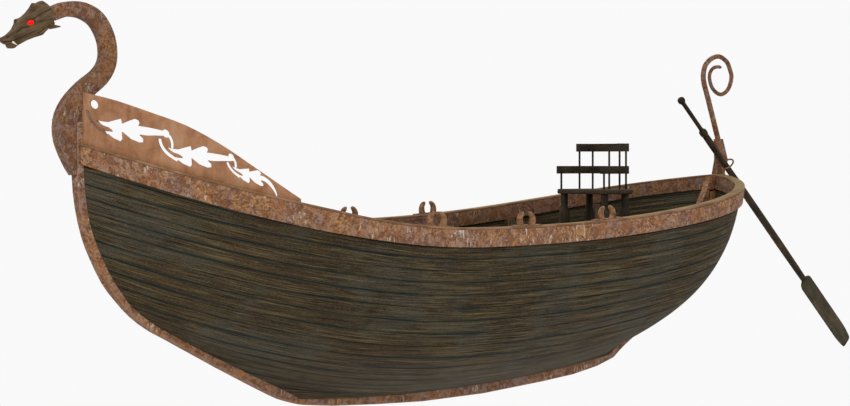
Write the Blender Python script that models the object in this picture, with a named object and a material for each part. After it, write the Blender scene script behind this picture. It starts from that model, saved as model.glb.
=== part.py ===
# Open wooden boat with a goose-neck dragon prow, pierced washboards and one steering oar.
# Metres, +Z up, bow towards -X, port side towards -Y. The origin is on the centreline
# amidships, at the surface of the water that the boat floats in.

import math

import bmesh
import bpy
from mathutils import Matrix, Vector

# Driving dimensions
GAP = 0.0003                  # gap between pieces that touch
PLANK = 0.034                 # thickness of the hull planking
BACKBONE = 0.100              # width of the stem, keel and sternpost across the boat
BACKBONE_DEPTH = 0.135        # its depth from the outer face into the boat
RAIL_OUT = 0.036              # how far the gunwale stands out of the planking
RAIL_IN = 0.030               # how far it stands in from the planking's inner face
BAND_HEIGHT = 0.150           # height of the rusty bands on both sides of the planking
CAP = 0.020                   # thickness of the wooden cap on top
FRAME_WIDTH = 0.090           # a frame's size along the boat
FRAME_DEPTH = 0.070           # and its depth in from the planking
SOLE = 0.100                  # height of the underside of the floorboards
FLOOR = 0.050                 # height of a frame's floor over the backbone that it crosses
BOARD = 0.028                 # thickness of a floorboard and of a deck board
STRINGER_DEPTH = 0.050        # thickness of the stringers, in from the frames
STRINGER = (0.05, 0.45)       # how far up the sixth plank the stringer lies, low and high
SEAT = 0.040                  # thickness of a rower's seat
DECK = 0.920                  # height of the underside of the stern deck
STEM_TOP = 2.030              # height of the stem's head, behind the dragon's neck
ROW_STATIONS = (-1.23, -0.19, 0.82)
FRAME_STATIONS = (-3.10, -2.10, -1.10, -0.10, 0.87, 1.87, 2.85)

# Table of offsets, one row for each plank edge, from the keel up to the sheer.
# Columns: stem x, stem z, post x, post z, half breadth amidships, height amidships
PLANK_EDGES = (
    (-1.770, -0.385, 2.080, -0.238, 0.055, -0.430),
    (-2.790, 0.095, 2.490, 0.030, 0.465, -0.300),
    (-3.400, 0.430, 2.850, 0.300, 0.810, -0.120),
    (-3.645, 0.690, 3.130, 0.540, 1.045, 0.090),
    (-3.795, 0.950, 3.350, 0.760, 1.175, 0.320),
    (-3.890, 1.190, 3.520, 0.970, 1.240, 0.550),
    (-3.932, 1.420, 3.640, 1.170, 1.270, 0.760),
    (-3.950, 1.640, 3.720, 1.370, 1.285, 0.960),
    (-3.952, 1.835, 3.765, 1.550, 1.290, 1.115),
)
LAST_EDGE = len(PLANK_EDGES) - 1
STATIONS = 30                 # stations along each plank edge
BOW_JOINT = 10                # station of the planks' forward butt joints
STERN_JOINT = 20              # station of their after butt joints
LOW_POINT = -0.60             # x where the sheer and the keel are lowest
SHEER_POWER = 2.1             # how steeply they rise towards the ends
HEEL = BACKBONE / 2 - 0.01     # half breadth at which the planks run into the backbone
SHOULDER = (0.20, -2.30)      # x where the bow's curve begins, at the keel and at the sheer
QUARTER = (0.43, 0.50)        # x where the stern's curve begins, at the keel and at the sheer


def clear_scene():
    for item in list(bpy.data.objects):
        bpy.data.objects.remove(item, do_unlink=True)


def material(name, colour, roughness, metallic=0.0):
    made = bpy.data.materials.new(name)
    made.use_nodes = True
    shader = made.node_tree.nodes["Principled BSDF"]
    shader.inputs["Base Color"].default_value = (*colour, 1.0)
    shader.inputs["Roughness"].default_value = roughness
    shader.inputs["Metallic"].default_value = metallic
    return made


RUST = ((0.23, 0.13, 0.09), 0.75, 0.4)
COPPER_WOOD = ((0.30, 0.16, 0.09), 0.55, 0.1)
DARK_WOOD = ((0.07, 0.055, 0.04), 0.7)
HULL_WOOD = ((0.085, 0.07, 0.05), 0.75)
FRAME_WOOD = ((0.17, 0.14, 0.10), 0.75)
OLIVE_WOOD = ((0.22, 0.17, 0.09), 0.6)
BRONZE = ((0.40, 0.27, 0.18), 0.5, 0.6)
HEAD_WOOD = ((0.13, 0.10, 0.06), 0.65)
EYE_RED = ((0.9, 0.0, 0.0), 0.3)
TOOTH = ((0.8, 0.78, 0.7), 0.4)


def add_object(name, shape, finish, smooth=False):
    """Make one named sub-part from a bmesh, with a material of its own."""
    mesh = bpy.data.meshes.new(name)
    shape.to_mesh(mesh)
    shape.free()
    if smooth:
        mesh.shade_smooth()
        mesh.set_sharp_from_angle(angle=math.radians(40))
    made = bpy.data.objects.new(name, mesh)
    bpy.context.scene.collection.objects.link(made)
    mesh.materials.append(material(name, *finish))
    return made


def prism(outline, low, high, axis="Y"):
    """A bmesh of a flat outline of (x, z), (x, y) or (y, z) points, extruded along one axis."""
    place = {
        "Y": lambda a, b, c: (a, c, b),
        "Z": lambda a, b, c: (a, b, c),
        "X": lambda a, b, c: (c, a, b),
    }[axis]
    shape = bmesh.new()
    first = [shape.verts.new(place(a, b, low)) for a, b in outline]
    face = shape.faces.new(first)
    moved = bmesh.ops.extrude_face_region(shape, geom=[face])
    shift = Vector(place(0.0, 0.0, high - low))
    corners = [item for item in moved["geom"] if isinstance(item, bmesh.types.BMVert)]
    bmesh.ops.translate(shape, verts=corners, vec=shift)
    bmesh.ops.recalc_face_normals(shape, faces=shape.faces)
    return shape


def box(low, high):
    outline = ((low[0], low[1]), (high[0], low[1]), (high[0], high[1]), (low[0], high[1]))
    return prism(outline, low[2], high[2], "Z")


def merge(shape, other):
    """Add another bmesh to this one, as a body of its own."""
    mesh = bpy.data.meshes.new("merge")
    other.to_mesh(mesh)
    other.free()
    shape.from_mesh(mesh)
    bpy.data.meshes.remove(mesh)
    return shape


def boolean(shape, cutters):
    """Cut a bmesh by a list of (operation, bmesh) pairs and return the result."""
    mesh = bpy.data.meshes.new("blank")
    shape.to_mesh(mesh)
    shape.free()
    blank = bpy.data.objects.new("blank", mesh)
    bpy.context.scene.collection.objects.link(blank)
    tools = []
    for operation, cutter in cutters:
        tool_mesh = bpy.data.meshes.new("tool")
        cutter.to_mesh(tool_mesh)
        cutter.free()
        tool = bpy.data.objects.new("tool", tool_mesh)
        bpy.context.scene.collection.objects.link(tool)
        change = blank.modifiers.new("cut", "BOOLEAN")
        change.operation = operation
        change.solver = "EXACT"
        change.object = tool
        tools.append(tool)
    bpy.context.view_layer.update()
    seen = blank.evaluated_get(bpy.context.evaluated_depsgraph_get())
    made = bmesh.new()
    made.from_mesh(seen.to_mesh())
    seen.to_mesh_clear()
    for item in [blank] + tools:
        bpy.data.objects.remove(item, do_unlink=True)
    bmesh.ops.remove_doubles(made, verts=made.verts, dist=0.00002)
    bmesh.ops.dissolve_degenerate(made, edges=made.edges, dist=0.00001)
    return made


def smooth_line(points, steps):
    """Points along a Catmull-Rom curve through the given ones, in any number of columns."""
    line = []
    for i in range(len(points) - 1):
        p0 = points[max(i - 1, 0)]
        p1, p2 = points[i], points[i + 1]
        p3 = points[min(i + 2, len(points) - 1)]
        for k in range(steps):
            t = k / steps
            line.append(tuple(
                0.5 * (2 * b + (c - a) * t + (2 * a - 5 * b + 4 * c - d) * t * t
                       + (3 * b - a - 3 * c + d) * t ** 3)
                for a, b, c, d in zip(p0, p1, p2, p3)))
    line.append(tuple(points[-1]))
    return line


# Hull form

def blend(low, high, share):
    return low + (high - low) * share


def hull_point(edge, x):
    """The outer surface's half breadth and height on a plank edge, at x."""
    stem_x, stem_z, post_x, post_z, breadth, middle = PLANK_EDGES[edge]
    level = edge / LAST_EDGE
    shoulder = blend(*SHOULDER, level)
    quarter = blend(*QUARTER, level)
    ahead = min(max((shoulder - x) / (shoulder - stem_x), 0.0), 1.0)
    astern = min(max((x - quarter) / (post_x - quarter), 0.0), 1.0)
    entry = 1 - ahead ** 1.58
    run = (1 - astern ** blend(5.5, 4.7, level)) ** blend(0.98, 0.90, level)
    y = HEEL + (breadth - HEEL) * entry * run
    rise = min(max((LOW_POINT - x) / (LOW_POINT - stem_x), 0.0), 1.0) ** SHEER_POWER
    lift = min(max((x - LOW_POINT) / (post_x - LOW_POINT), 0.0), 1.0) ** SHEER_POWER
    return y, middle + (stem_z - middle) * rise + (post_z - middle) * lift


def station_share(i):
    """Stations lie closer together towards both ends, where the planks bend most."""
    return 0.5 - 0.5 * math.cos(math.pi * i / STATIONS)


def edge_points(edge):
    """Outer points along a plank edge on the starboard side, from the stem to the post."""
    stem_x, _, post_x, _, _, _ = PLANK_EDGES[edge]
    line = []
    for i in range(STATIONS + 1):
        x = blend(stem_x, post_x, station_share(i))
        y, z = hull_point(edge, x)
        line.append(Vector((x, y if edge else BACKBONE / 2 + GAP, z)))
    return line


EDGES = [edge_points(edge) for edge in range(LAST_EDGE + 1)]


def edge_normals():
    """Outward normals at the plank edges' points, from the surface through their neighbours."""
    rows = []
    for k in range(LAST_EDGE + 1):
        row = []
        for i in range(STATIONS + 1):
            along = EDGES[k][min(i + 1, STATIONS)] - EDGES[k][max(i - 1, 0)]
            up = EDGES[min(k + 1, LAST_EDGE)][i] - EDGES[max(k - 1, 0)][i]
            out = along.cross(up) * -1
            if k == LAST_EDGE:
                out.z = 0.0
            row.append(out.normalized())
        rows.append(row)
    return rows


NORMALS = edge_normals()


def skin_point(k, i, depth, share=0.0):
    """A point between plank edges k and k + 1 at station i, sunk by depth under the surface."""
    point = EDGES[k][i] - NORMALS[k][i] * depth
    if share:
        point = point.lerp(EDGES[k + 1][i] - NORMALS[k + 1][i] * depth, share)
    return point


def mirrored(point, side):
    return Vector((point.x, point.y * side, point.z))


def strip(rows, side):
    """A closed body from rings of points along the boat; side -1 puts it to port.

    Every four-sided patch is split from its lower or inner near corner, so that bodies laid
    against one another over the same stations share their facets.
    """
    shape = bmesh.new()
    rings = [[shape.verts.new(mirrored(p, side)) for p in ring] for ring in rows]
    count = len(rings[0])
    for one, two in zip(rings, rings[1:]):
        for j in range(count):
            a, b = one[j], one[(j + 1) % count]
            c, d = two[(j + 1) % count], two[j]
            level = abs(a.co.z - b.co.z) < 1e-4
            rising = abs(a.co.y) < abs(b.co.y) if level else a.co.z < b.co.z
            for corners in (((a, b, c), (a, c, d)) if rising else ((a, b, d), (b, c, d))):
                shape.faces.new(corners)
    for ring in (rings[0], rings[-1]):
        for j in range(count // 2 - 1):
            a, b, c, d = ring[j], ring[j + 1], ring[-2 - j], ring[-1 - j]
            shape.faces.new((a, b, c))
            shape.faces.new((a, c, d))
    bmesh.ops.recalc_face_normals(shape, faces=shape.faces)
    return shape


def centre_cutter():
    """A flat box over the whole centreline, where the backbone stands."""
    half = BACKBONE / 2 + GAP
    return box((-5.0, -half, -1.0), (5.0, half, 3.0))


def band_share():
    """How far up the top plank the rusty bands begin, at each station."""
    rows = []
    for low, high in zip(EDGES[LAST_EDGE - 1], EDGES[LAST_EDGE]):
        rows.append(1 - BAND_HEIGHT / (high.z - low.z))
    return rows


BAND_SHARE = band_share()


def skin_line(i, depth):
    """Points up the side at station i, with one more where the rusty bands begin."""
    line = [skin_point(k, i, depth) for k in range(LAST_EDGE + 1)]
    line.insert(LAST_EDGE, skin_point(LAST_EDGE - 1, i, depth, BAND_SHARE[i]))
    return line


def hull_planking():
    """Each side's planking in three runs, butted end to end, as thick as one plank."""
    regions = (("bow", 0, BOW_JOINT), ("middle", BOW_JOINT, STERN_JOINT),
               ("stern", STERN_JOINT, STATIONS))
    for side, side_name in ((-1, "port"), (1, "starboard")):
        for region, start, end in regions:
            rows = []
            for i in range(start, end + 1):
                rows.append(skin_line(i, 0.0) + skin_line(i, PLANK)[::-1])
            for index, towards in ((0, 1), (-1, -2)):
                rows[index] = [p + (q - p).normalized() * GAP / 2
                               for p, q in zip(rows[index], rows[towards])]
            shape = boolean(strip(rows, side), [("DIFFERENCE", centre_cutter())])
            add_object(f"planking_{side_name}_{region}", shape, HULL_WOOD)


# Backbone

# Outer edge of the stem, keel and sternpost in the centre plane. Columns: x, z
STEM_LINE = (
    (-4.000, STEM_TOP), (-4.000, 1.600), (-3.970, 1.330), (-3.910, 1.090), (-3.830, 0.905),
    (-3.720, 0.705), (-3.600, 0.560), (-3.455, 0.416), (-3.290, 0.300), (-3.120, 0.212),
    (-2.600, -0.061), (-2.060, -0.330), (-1.900, -0.395), (-1.740, -0.440),
)
KEEL_LINE = (
    (-1.740, -0.440), (-1.400, -0.475), (-0.900, -0.500), (-0.350, -0.516), (0.400, -0.498),
    (1.180, -0.439), (1.590, -0.399), (1.920, -0.339), (2.148, -0.270),
)
POST_LINE = (
    (2.148, -0.270), (2.300, -0.160), (2.530, -0.020), (2.900, 0.270), (3.175, 0.510),
    (3.395, 0.735), (3.568, 0.950), (3.690, 1.155), (3.770, 1.360),
)


POST_INSET = 0.012            # how far the sternpost's head keeps clear of the bands


def side_step(line, i):
    """The mitred inward direction at a point of a line in the centre plane."""
    before = Vector(line[max(i - 1, 0)])
    here = Vector(line[i])
    after = Vector(line[min(i + 1, len(line) - 1)])
    turns = []
    for step in (here - before, after - here):
        if step.length > 1e-6:
            step.normalize()
            turns.append(Vector((-step.y, step.x)))
    total = sum(turns, Vector((0.0, 0.0)))
    total.normalize()
    return total / total.dot(turns[0])


def backbone_lines(grow=0.0):
    """The backbone's outer edge, and its inner edge grown into the boat, in the centre plane."""
    stem, keel, post = smooth_line(STEM_LINE, 2), list(KEEL_LINE), smooth_line(POST_LINE, 2)
    whole = stem + keel[1:] + post[1:]
    depth = BACKBONE_DEPTH + grow
    return whole, [Vector(p) + side_step(whole, i) * depth for i, p in enumerate(whole)]


def backbone_blank():
    """The whole backbone with its gap at the sides and inside, to cut what lies against it."""
    whole, inner = backbone_lines(GAP)
    half = BACKBONE / 2 + GAP
    return prism(whole + [tuple(p) for p in inner[::-1]], -half, half)


def backbone():
    stem, keel = smooth_line(STEM_LINE, 2), list(KEEL_LINE)
    whole, inner = backbone_lines()
    half = BACKBONE / 2
    first = len(stem) - 1
    second = first + len(keel) - 1
    for name, start, end in (("stem", 0, first), ("keel", first, second),
                             ("sternpost", second, len(whole) - 1)):
        line_out = [Vector(p) for p in whole[start:end + 1]]
        line_in = [p.copy() for p in inner[start:end + 1]]
        for line in (line_out, line_in):
            line[0] += (line[1] - line[0]).normalized() * GAP / 2
            line[-1] += (line[-2] - line[-1]).normalized() * GAP / 2
        if name == "sternpost":
            line_out, line_in = post_head(line_out, line_in)
        outline = [tuple(p) for p in line_out] + [tuple(p) for p in reversed(line_in)]
        add_object(name, prism(outline, -half, half), RUST)


def post_head(line_out, line_in):
    """Carry the sternpost up between the bands, where it is as thick as the planking."""
    low = skin_point(LAST_EDGE - 1, STATIONS, 0.0, BAND_SHARE[STATIONS])
    high = EDGES[LAST_EDGE][STATIONS]
    shoulder = low.z - POST_INSET
    line_out = [p for p in line_out if p.y < shoulder]
    line_in = [p for p in line_in if p.y < shoulder]
    line_out.append(Vector((low.x + RAIL_OUT, shoulder)))
    line_out.append(Vector((low.x - POST_INSET, shoulder)))
    line_out.append(Vector((high.x - POST_INSET, high.z - POST_INSET)))
    line_in.append(Vector((low.x - BACKBONE_DEPTH, shoulder)))
    line_in.append(Vector((low.x - PLANK + 0.004, shoulder)))
    line_in.append(Vector((high.x - PLANK + 0.004, high.z - POST_INSET)))
    return line_out, line_in


def stern_knee():
    """A sloping bar inside the stern, from the sternpost up to the gunwale's inner band."""
    outer = ((3.388, 0.960), (3.500, 1.150), (3.575, 1.300), (3.588, 1.404), (3.662, 1.410),
             (3.698, 1.547))
    inner = ((3.615, 1.547), (3.560, 1.420), (3.480, 1.280), (3.370, 1.100), (3.275, 0.950))
    shape = prism(outer + inner, -0.04, 0.04)
    shape = boolean(shape, [("DIFFERENCE", band_body(PLANK - GAP, PLANK + RAIL_IN + GAP)),
                            ("DIFFERENCE", post_blank())])
    add_object("stern_knee", shape, RUST)


def post_blank():
    """The sternpost's outline with its gap all round, to cut what stands against it."""
    line = smooth_line(POST_LINE, 2)
    inner = []
    for i, p in enumerate(line):
        inner.append(tuple(Vector(p) + side_step(line, i) * (BACKBONE_DEPTH + GAP)))
    return prism(line + inner[::-1], -0.1, 0.1)


# Gunwale

def band_rows(outside, inside, low=0.0, high=0.0):
    """Rings of a band along the top plank, between two depths under the planks' face.

    The band is BAND_HEIGHT tall and its ends meet on the centreline at the stern. The heights
    are added to its lower and its upper edge.
    """
    rows = []
    for i, share in enumerate(BAND_SHARE):
        k = LAST_EDGE - 1
        ring = [skin_point(k, i, outside, share), skin_point(k, i, outside, 1.0),
                skin_point(k, i, inside, 1.0), skin_point(k, i, inside, share)]
        for point, lift in zip(ring, (low, high, high, low)):
            point.z += lift
        rows.append(ring)
    low_x = EDGES[LAST_EDGE - 1][-1].lerp(EDGES[LAST_EDGE][-1], BAND_SHARE[-1]).x
    high_x = EDGES[LAST_EDGE][-1].x
    rows.append(stern_ring(rows[-1], (low_x, high_x, high_x, low_x),
                           (outside, outside, inside, inside)))
    return rows


def stern_ring(ring, middles, depths):
    """The last ring of a band or cap, on the centreline at the stern."""
    return [Vector((x - depth, GAP / 2, point.z)) for point, x, depth in zip(ring, middles, depths)]


def band_body(outside, inside):
    """A band over both sides in one closed ring of points, to cut with."""
    rows = band_rows(outside, inside, -GAP, GAP)
    turned = [[mirrored(p, -1) for p in ring] for ring in reversed(rows)]
    return strip(rows + turned, 1)


def cap_rows(low, high, wider=0.0):
    """Rings of the gunwale's cap, between two heights above the planks' top edge."""
    outside, inside = -RAIL_OUT - wider, PLANK + RAIL_IN + wider
    across = (outside, 0.0, PLANK, inside)
    corners = [(depth, low) for depth in across] + [(depth, high) for depth in across[::-1]]
    rows = []
    for i in range(STATIONS + 1):
        ring = [skin_point(LAST_EDGE, i, depth) for depth, _ in corners]
        for point, (_, height) in zip(ring, corners):
            point.z += height
        rows.append(ring)
    rows.append(stern_ring(rows[-1], [EDGES[LAST_EDGE][-1].x] * len(corners),
                           [depth for depth, _ in corners]))
    return rows


def cap_cutter(side):
    """All that lies under the cap's top face, to cut a foot that stands on it."""
    return strip(cap_rows(-0.1, CAP + GAP, 0.02), side)


def bow_cutter():
    half = BACKBONE / 2 + GAP
    return box((-5.0, -half, -1.0), (0.0, half, 3.0))


def rails():
    inner_face = PLANK + RAIL_IN
    for side, side_name in ((-1, "port"), (1, "starboard")):
        bodies = (("band_outer", band_rows(-RAIL_OUT, -GAP), RUST),
                  ("band_inner", band_rows(PLANK + GAP, inner_face, 2 * GAP), RUST),
                  ("rail_cap", cap_rows(GAP, CAP), OLIVE_WOOD))
        for name, rows, finish in bodies:
            shape = boolean(strip(rows, side), [("DIFFERENCE", bow_cutter())])
            add_object(f"{name}_{side_name}", shape, finish)


def cap_path(side):
    """Points along the middle of the cap's top face, from the stem to the stern."""
    path = []
    for ring in cap_rows(GAP, CAP):
        path.append(mirrored((ring[4] + ring[7]) / 2, side))
    return path


def on_path(path, x):
    """The point of a path at x, with the direction of the path there."""
    for one, two in zip(path, path[1:]):
        if one.x <= x <= two.x:
            return one.lerp(two, (x - one.x) / (two.x - one.x)), (two - one).normalized()
    return path[-1].copy(), (path[-1] - path[-2]).normalized()


# Frames, floors and seats

def inner_body(depth, level_top=None):
    """The space inside the planking, sunk by depth, closed over under the rusty bands."""
    rings = []
    for i in range(STATIONS + 1):
        line = skin_line(i, depth)[:-1]
        if level_top is not None:
            line.append(line[-1] + Vector((0.0, 0.0, level_top)))
        for point in line:
            point.y = max(point.y, 0.006)
        port = [Vector((p.x, -p.y, p.z)) for p in line]
        rings.append(line[::-1] + port)
    return strip(rings, 1)


def stringer_rows(grow=0.0):
    """Rings of the stringer that ties the frames together and carries the rowers' seats."""
    outside = PLANK + FRAME_DEPTH - grow
    inside = PLANK + FRAME_DEPTH + STRINGER_DEPTH + grow
    low, high = STRINGER
    rows = []
    for i in range(STATIONS + 1):
        if FRAME_STATIONS[0] - 0.2 < EDGES[5][i].x < FRAME_STATIONS[-1] + 0.2:
            ring = [skin_point(5, i, outside, low), skin_point(5, i, outside, high),
                    skin_point(5, i, inside, high), skin_point(5, i, inside, low)]
            for point, lift in zip(ring, (-grow, grow, grow, -grow)):
                point.z += lift
            rows.append(ring)
    return rows


def stringers():
    for side, side_name in ((-1, "port"), (1, "starboard")):
        inside = inner_body(PLANK + FRAME_DEPTH + GAP, 0.5)
        shape = boolean(strip(stringer_rows(), side), [("INTERSECT", inside)])
        add_object(f"stringer_{side_name}", shape, FRAME_WOOD)


def floor_top(x):
    """Height of the floor of the frame at x, over the higher end of the backbone under it."""
    line = [Vector((p.x, 0.0, p.y)) for p in backbone_lines()[1]]
    return max(on_path(line, x + end)[0].z for end in (-FRAME_WIDTH / 2, FRAME_WIDTH / 2)) + FLOOR


def frames():
    """Frames that cross the backbone on their floors and rise to the bands on both sides."""
    half = FRAME_WIDTH / 2
    for number, x in enumerate(FRAME_STATIONS, 1):
        frame = boolean(box((x - half, -2.0, -0.6), (x + half, 2.0, 2.2)), [
            ("INTERSECT", inner_body(PLANK + GAP)),
            ("DIFFERENCE", inner_body(PLANK + FRAME_DEPTH, 0.5)),
        ])
        floor = boolean(box((x - half, -0.6, -0.6), (x + half, 0.6, floor_top(x))),
                        [("INTERSECT", inner_body(PLANK + GAP))])
        frame = boolean(frame, [("UNION", floor), ("DIFFERENCE", backbone_blank())])
        add_object(f"frame_{number}", largest(frame), FRAME_WOOD)


def floorboards():
    """Boards on bearers that lie across the bottom, between the frames' inner faces."""
    width, step = 0.200, 0.206
    inside = PLANK + FRAME_DEPTH + GAP
    shape = None
    for x in FRAME_STATIONS[1:6]:
        low = floor_top(x) + GAP
        slab = box((x - 0.035, -1.5, low), (x + 0.035, 1.5, SOLE + BOARD / 2))
        bearer = boolean(slab, [("INTERSECT", inner_body(inside))])
        shape = merge(shape, bearer) if shape else bearer
    boards = []
    for i in range(-4, 5):
        slab = box((-2.25, i * step - width / 2, SOLE), (2.02, i * step + width / 2, SOLE + BOARD))
        boards.append(("UNION", boolean(slab, [("INTERSECT", inner_body(inside))])))
    add_object("floorboards", boolean(shape, boards), FRAME_WOOD)


def stringer_height(x):
    """Height of the stringer's inner top edge at x."""
    line = [row[2] for row in stringer_rows()]
    return on_path(line, x)[0].z


def thwarts():
    """Rowers' seats, flat boards that lie on the stringers forward of each rowlock."""
    for number, x in enumerate(ROW_STATIONS, 1):
        fore, aft = x - 0.43, x - 0.19
        low = max(stringer_height(fore), stringer_height(aft)) + 0.001
        slab = box((fore, -1.5, low), (aft, 1.5, low + SEAT))
        shape = boolean(slab, [("INTERSECT", inner_body(PLANK + 2 * GAP))])
        add_object(f"thwart_{number}", shape, FRAME_WOOD)


def stern_deck():
    """Boards on four beams, whose ends bear on the planking."""
    width, step = 0.185, 0.191
    shape = None
    for x in (1.60, 2.10, 2.55, 3.05):
        slab = box((x - 0.035, -1.5, DECK - 0.075), (x + 0.035, 1.5, DECK + BOARD / 2))
        beam = boolean(slab, [("INTERSECT", inner_body(PLANK + GAP))])
        shape = merge(shape, beam) if shape else beam
    boards = []
    for i in range(-5, 6):
        slab = box((1.55, i * step - width / 2, DECK), (3.10, i * step + width / 2, DECK + BOARD))
        inside = inner_body(PLANK + FRAME_DEPTH + GAP)
        boards.append(("UNION", boolean(slab, [("INTERSECT", inside)])))
    notches = [("DIFFERENCE", strip(stringer_rows(2 * GAP), side)) for side in (-1, 1)]
    add_object("stern_deck", largest(boolean(shape, boards + notches)), FRAME_WOOD)


# Steersman's seat

SEAT_FRONT, SEAT_BACK = 1.735, 2.160
SEAT_LOW, SEAT_TOP = 1.380, 1.430


def turned(profile, centre, sides=12):
    """A turned post from (radius, height) pairs, upright at a centre."""
    shape = bmesh.new()
    rings = []
    for radius, z in profile:
        ring = []
        for j in range(sides):
            turn = 2 * math.pi * (j + 0.5) / sides
            ring.append(shape.verts.new((centre[0] + radius * math.cos(turn),
                                         centre[1] + radius * math.sin(turn), z)))
        rings.append(ring)
    for one, two in zip(rings, rings[1:]):
        for j in range(sides):
            k = (j + 1) % sides
            shape.faces.new((one[j], one[k], two[k], two[j]))
    shape.faces.new(rings[0][::-1])
    shape.faces.new(rings[-1])
    bmesh.ops.recalc_face_normals(shape, faces=shape.faces)
    return shape


def hoop_rail(front, half_front, half_back, low, high):
    """A rail bent round the seat's sides and back, open to the front."""
    back, thick = SEAT_BACK - 0.005, 0.035
    outline = (
        (front, -half_front), (back - 0.03, -half_back), (back, -half_back + 0.03),
        (back, half_back - 0.03), (back - 0.03, half_back), (front, half_front),
        (front, half_front - thick), (back - thick, half_back - thick),
        (back - thick, thick - half_back), (front, thick - half_front),
    )
    return prism(outline, low, high, "Z")


def chair():
    front, back = 0.340, 0.310
    plank = prism(((SEAT_FRONT, -front), (SEAT_BACK, -back), (SEAT_BACK, back),
                   (SEAT_FRONT, front)), SEAT_LOW, SEAT_TOP, "Z")
    bmesh.ops.bevel(plank, geom=plank.edges, offset=0.012, segments=2, affect="EDGES",
                    profile=0.5, material=-1)
    add_object("chair_seat", plank, DARK_WOOD, smooth=True)
    foot = DECK + BOARD + GAP
    profile = ((0.0575, foot), (0.0575, 1.215), (0.0375, 1.27), (0.0375, SEAT_LOW - GAP))
    for end, x, y in (("front", 1.785, 0.285), ("back", 2.105, 0.250)):
        for side, side_name in ((-1, "port"), (1, "starboard")):
            add_object(f"chair_leg_{end}_{side_name}", turned(profile, (x, y * side)),
                       DARK_WOOD, smooth=True)
    tiers = (
        ("lower", 1.715, 0.325, SEAT_TOP, 1.583, 1.660,
         ((1.760, 0.302), (1.997, 0.283), (2.137, 0.235))),
        ("upper", 1.970, 0.305, 1.660, 1.805, 1.885, ((1.997, 0.283), (2.137, 0.235))),
    )
    for name, fore, half, foot, low, high, places in tiers:
        rail = hoop_rail(fore, half, 0.290, low, high)
        ends = ((0.011, foot + GAP), (0.011, low + 0.01))
        spindles = [("UNION", turned(ends, (2.137, 0.0), 8))]
        for x, y in places:
            spindles += [("UNION", turned(ends, (x, y * side), 8)) for side in (-1, 1)]
        add_object(f"chair_{name}_rail", boolean(rail, spindles), DARK_WOOD, smooth=True)


# Rowlocks

def ribbon(centre_line, widths, steps=3):
    """A closed outline around a curved centre line whose width changes along it."""
    rows = smooth_line([(*p, w) for p, w in zip(centre_line, widths)], steps)
    line = [(a, b) for a, b, _ in rows]
    left, right = [], []
    for i, (a, b, width) in enumerate(rows):
        step = side_step(line, i) * width / 2
        left.append((a + step.x, b + step.y))
        right.append((a - step.x, b - step.y))
    return left + right[::-1]


def rowlock_shape():
    """A base plate with two horns that close over the oar, with its origin under the plate."""
    horn = ((-0.078, 0.000), (-0.104, 0.030), (-0.106, 0.068), (-0.082, 0.104), (-0.045, 0.121))
    widths = (0.052, 0.044, 0.040, 0.036, 0.026)
    shape = box((-0.165, -0.040, -0.012), (0.165, 0.040, 0.012))
    parts = []
    for side in (-1, 1):
        line = [(x * -side, z) for x, z in horn]
        parts.append(("UNION", prism(ribbon(line, widths), -0.016, 0.016)))
    return boolean(shape, parts)


def rowlocks():
    for side, side_name in ((-1, "port"), (1, "starboard")):
        path = cap_path(side)
        for number, x in enumerate(ROW_STATIONS, 1):
            centre, along = on_path(path, x)
            shape = rowlock_shape()
            turn = Matrix.Rotation(math.atan2(along.y, along.x), 4, "Z")
            lean = Matrix.Rotation(-math.asin(along.z), 4, "Y")
            shape.transform(Matrix.Translation(centre) @ turn @ lean)
            shape = boolean(shape, [("DIFFERENCE", cap_cutter(side))])
            add_object(f"rowlock_{side_name}_{number}", shape, BRONZE)


# Pierced washboards on the bow

BOARD_THICK = 0.030
# Top edge of a washboard. Columns: distance along the cap from the stem, height above the cap
BOARD_TOP = (
    (0.000, 0.417), (0.114, 0.420), (0.332, 0.427), (0.613, 0.411), (0.898, 0.385),
    (1.172, 0.311), (1.450, 0.195), (1.728, 0.070), (1.835, 0.024),
)
# One scroll of the pierced leaf pattern, about the middle of its round bud.
LEAF = (
    (0.014, -0.125), (0.060, -0.126), (0.115, -0.118), (0.175, -0.085), (0.238, -0.053),
    (0.246, -0.092), (0.300, -0.055), (0.355, -0.022), (0.392, -0.028), (0.400, -0.050),
    (0.385, -0.080), (0.410, -0.114), (0.400, -0.150), (0.430, -0.170), (0.432, -0.200),
    (0.395, -0.214), (0.320, -0.205), (0.245, -0.165), (0.250, -0.225), (0.232, -0.251),
    (0.165, -0.240), (0.115, -0.217), (0.076, -0.180), (0.110, -0.198), (0.160, -0.188),
    (0.150, -0.172), (0.120, -0.160), (0.075, -0.158), (0.040, -0.145),
)
LEFT_STRAND = (-0.056, -0.064), (-0.050, -0.100), (-0.022, -0.150), (0.030, -0.190), (0.115, -0.222)
RIGHT_STRAND = (0.030, -0.010), (0.052, -0.045), (0.062, -0.085), (0.058, -0.125)
STALK = (0.370, -0.112), (0.450, -0.102), (0.529, -0.088), (0.600, -0.078), (0.640, -0.066)
TAIL = (0.370, -0.112), (0.450, -0.100), (0.530, -0.135), (0.590, -0.200), (0.615, -0.262)
# The scrolls along the board. Columns: bud's distance and height, scale, slope of the row
SCROLLS = (
    (0.150, 0.345, 0.95, 0.00),
    (0.742, 0.274, 0.86, 0.00),
    (1.271, 0.228, 0.60, -0.20),
)


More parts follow.
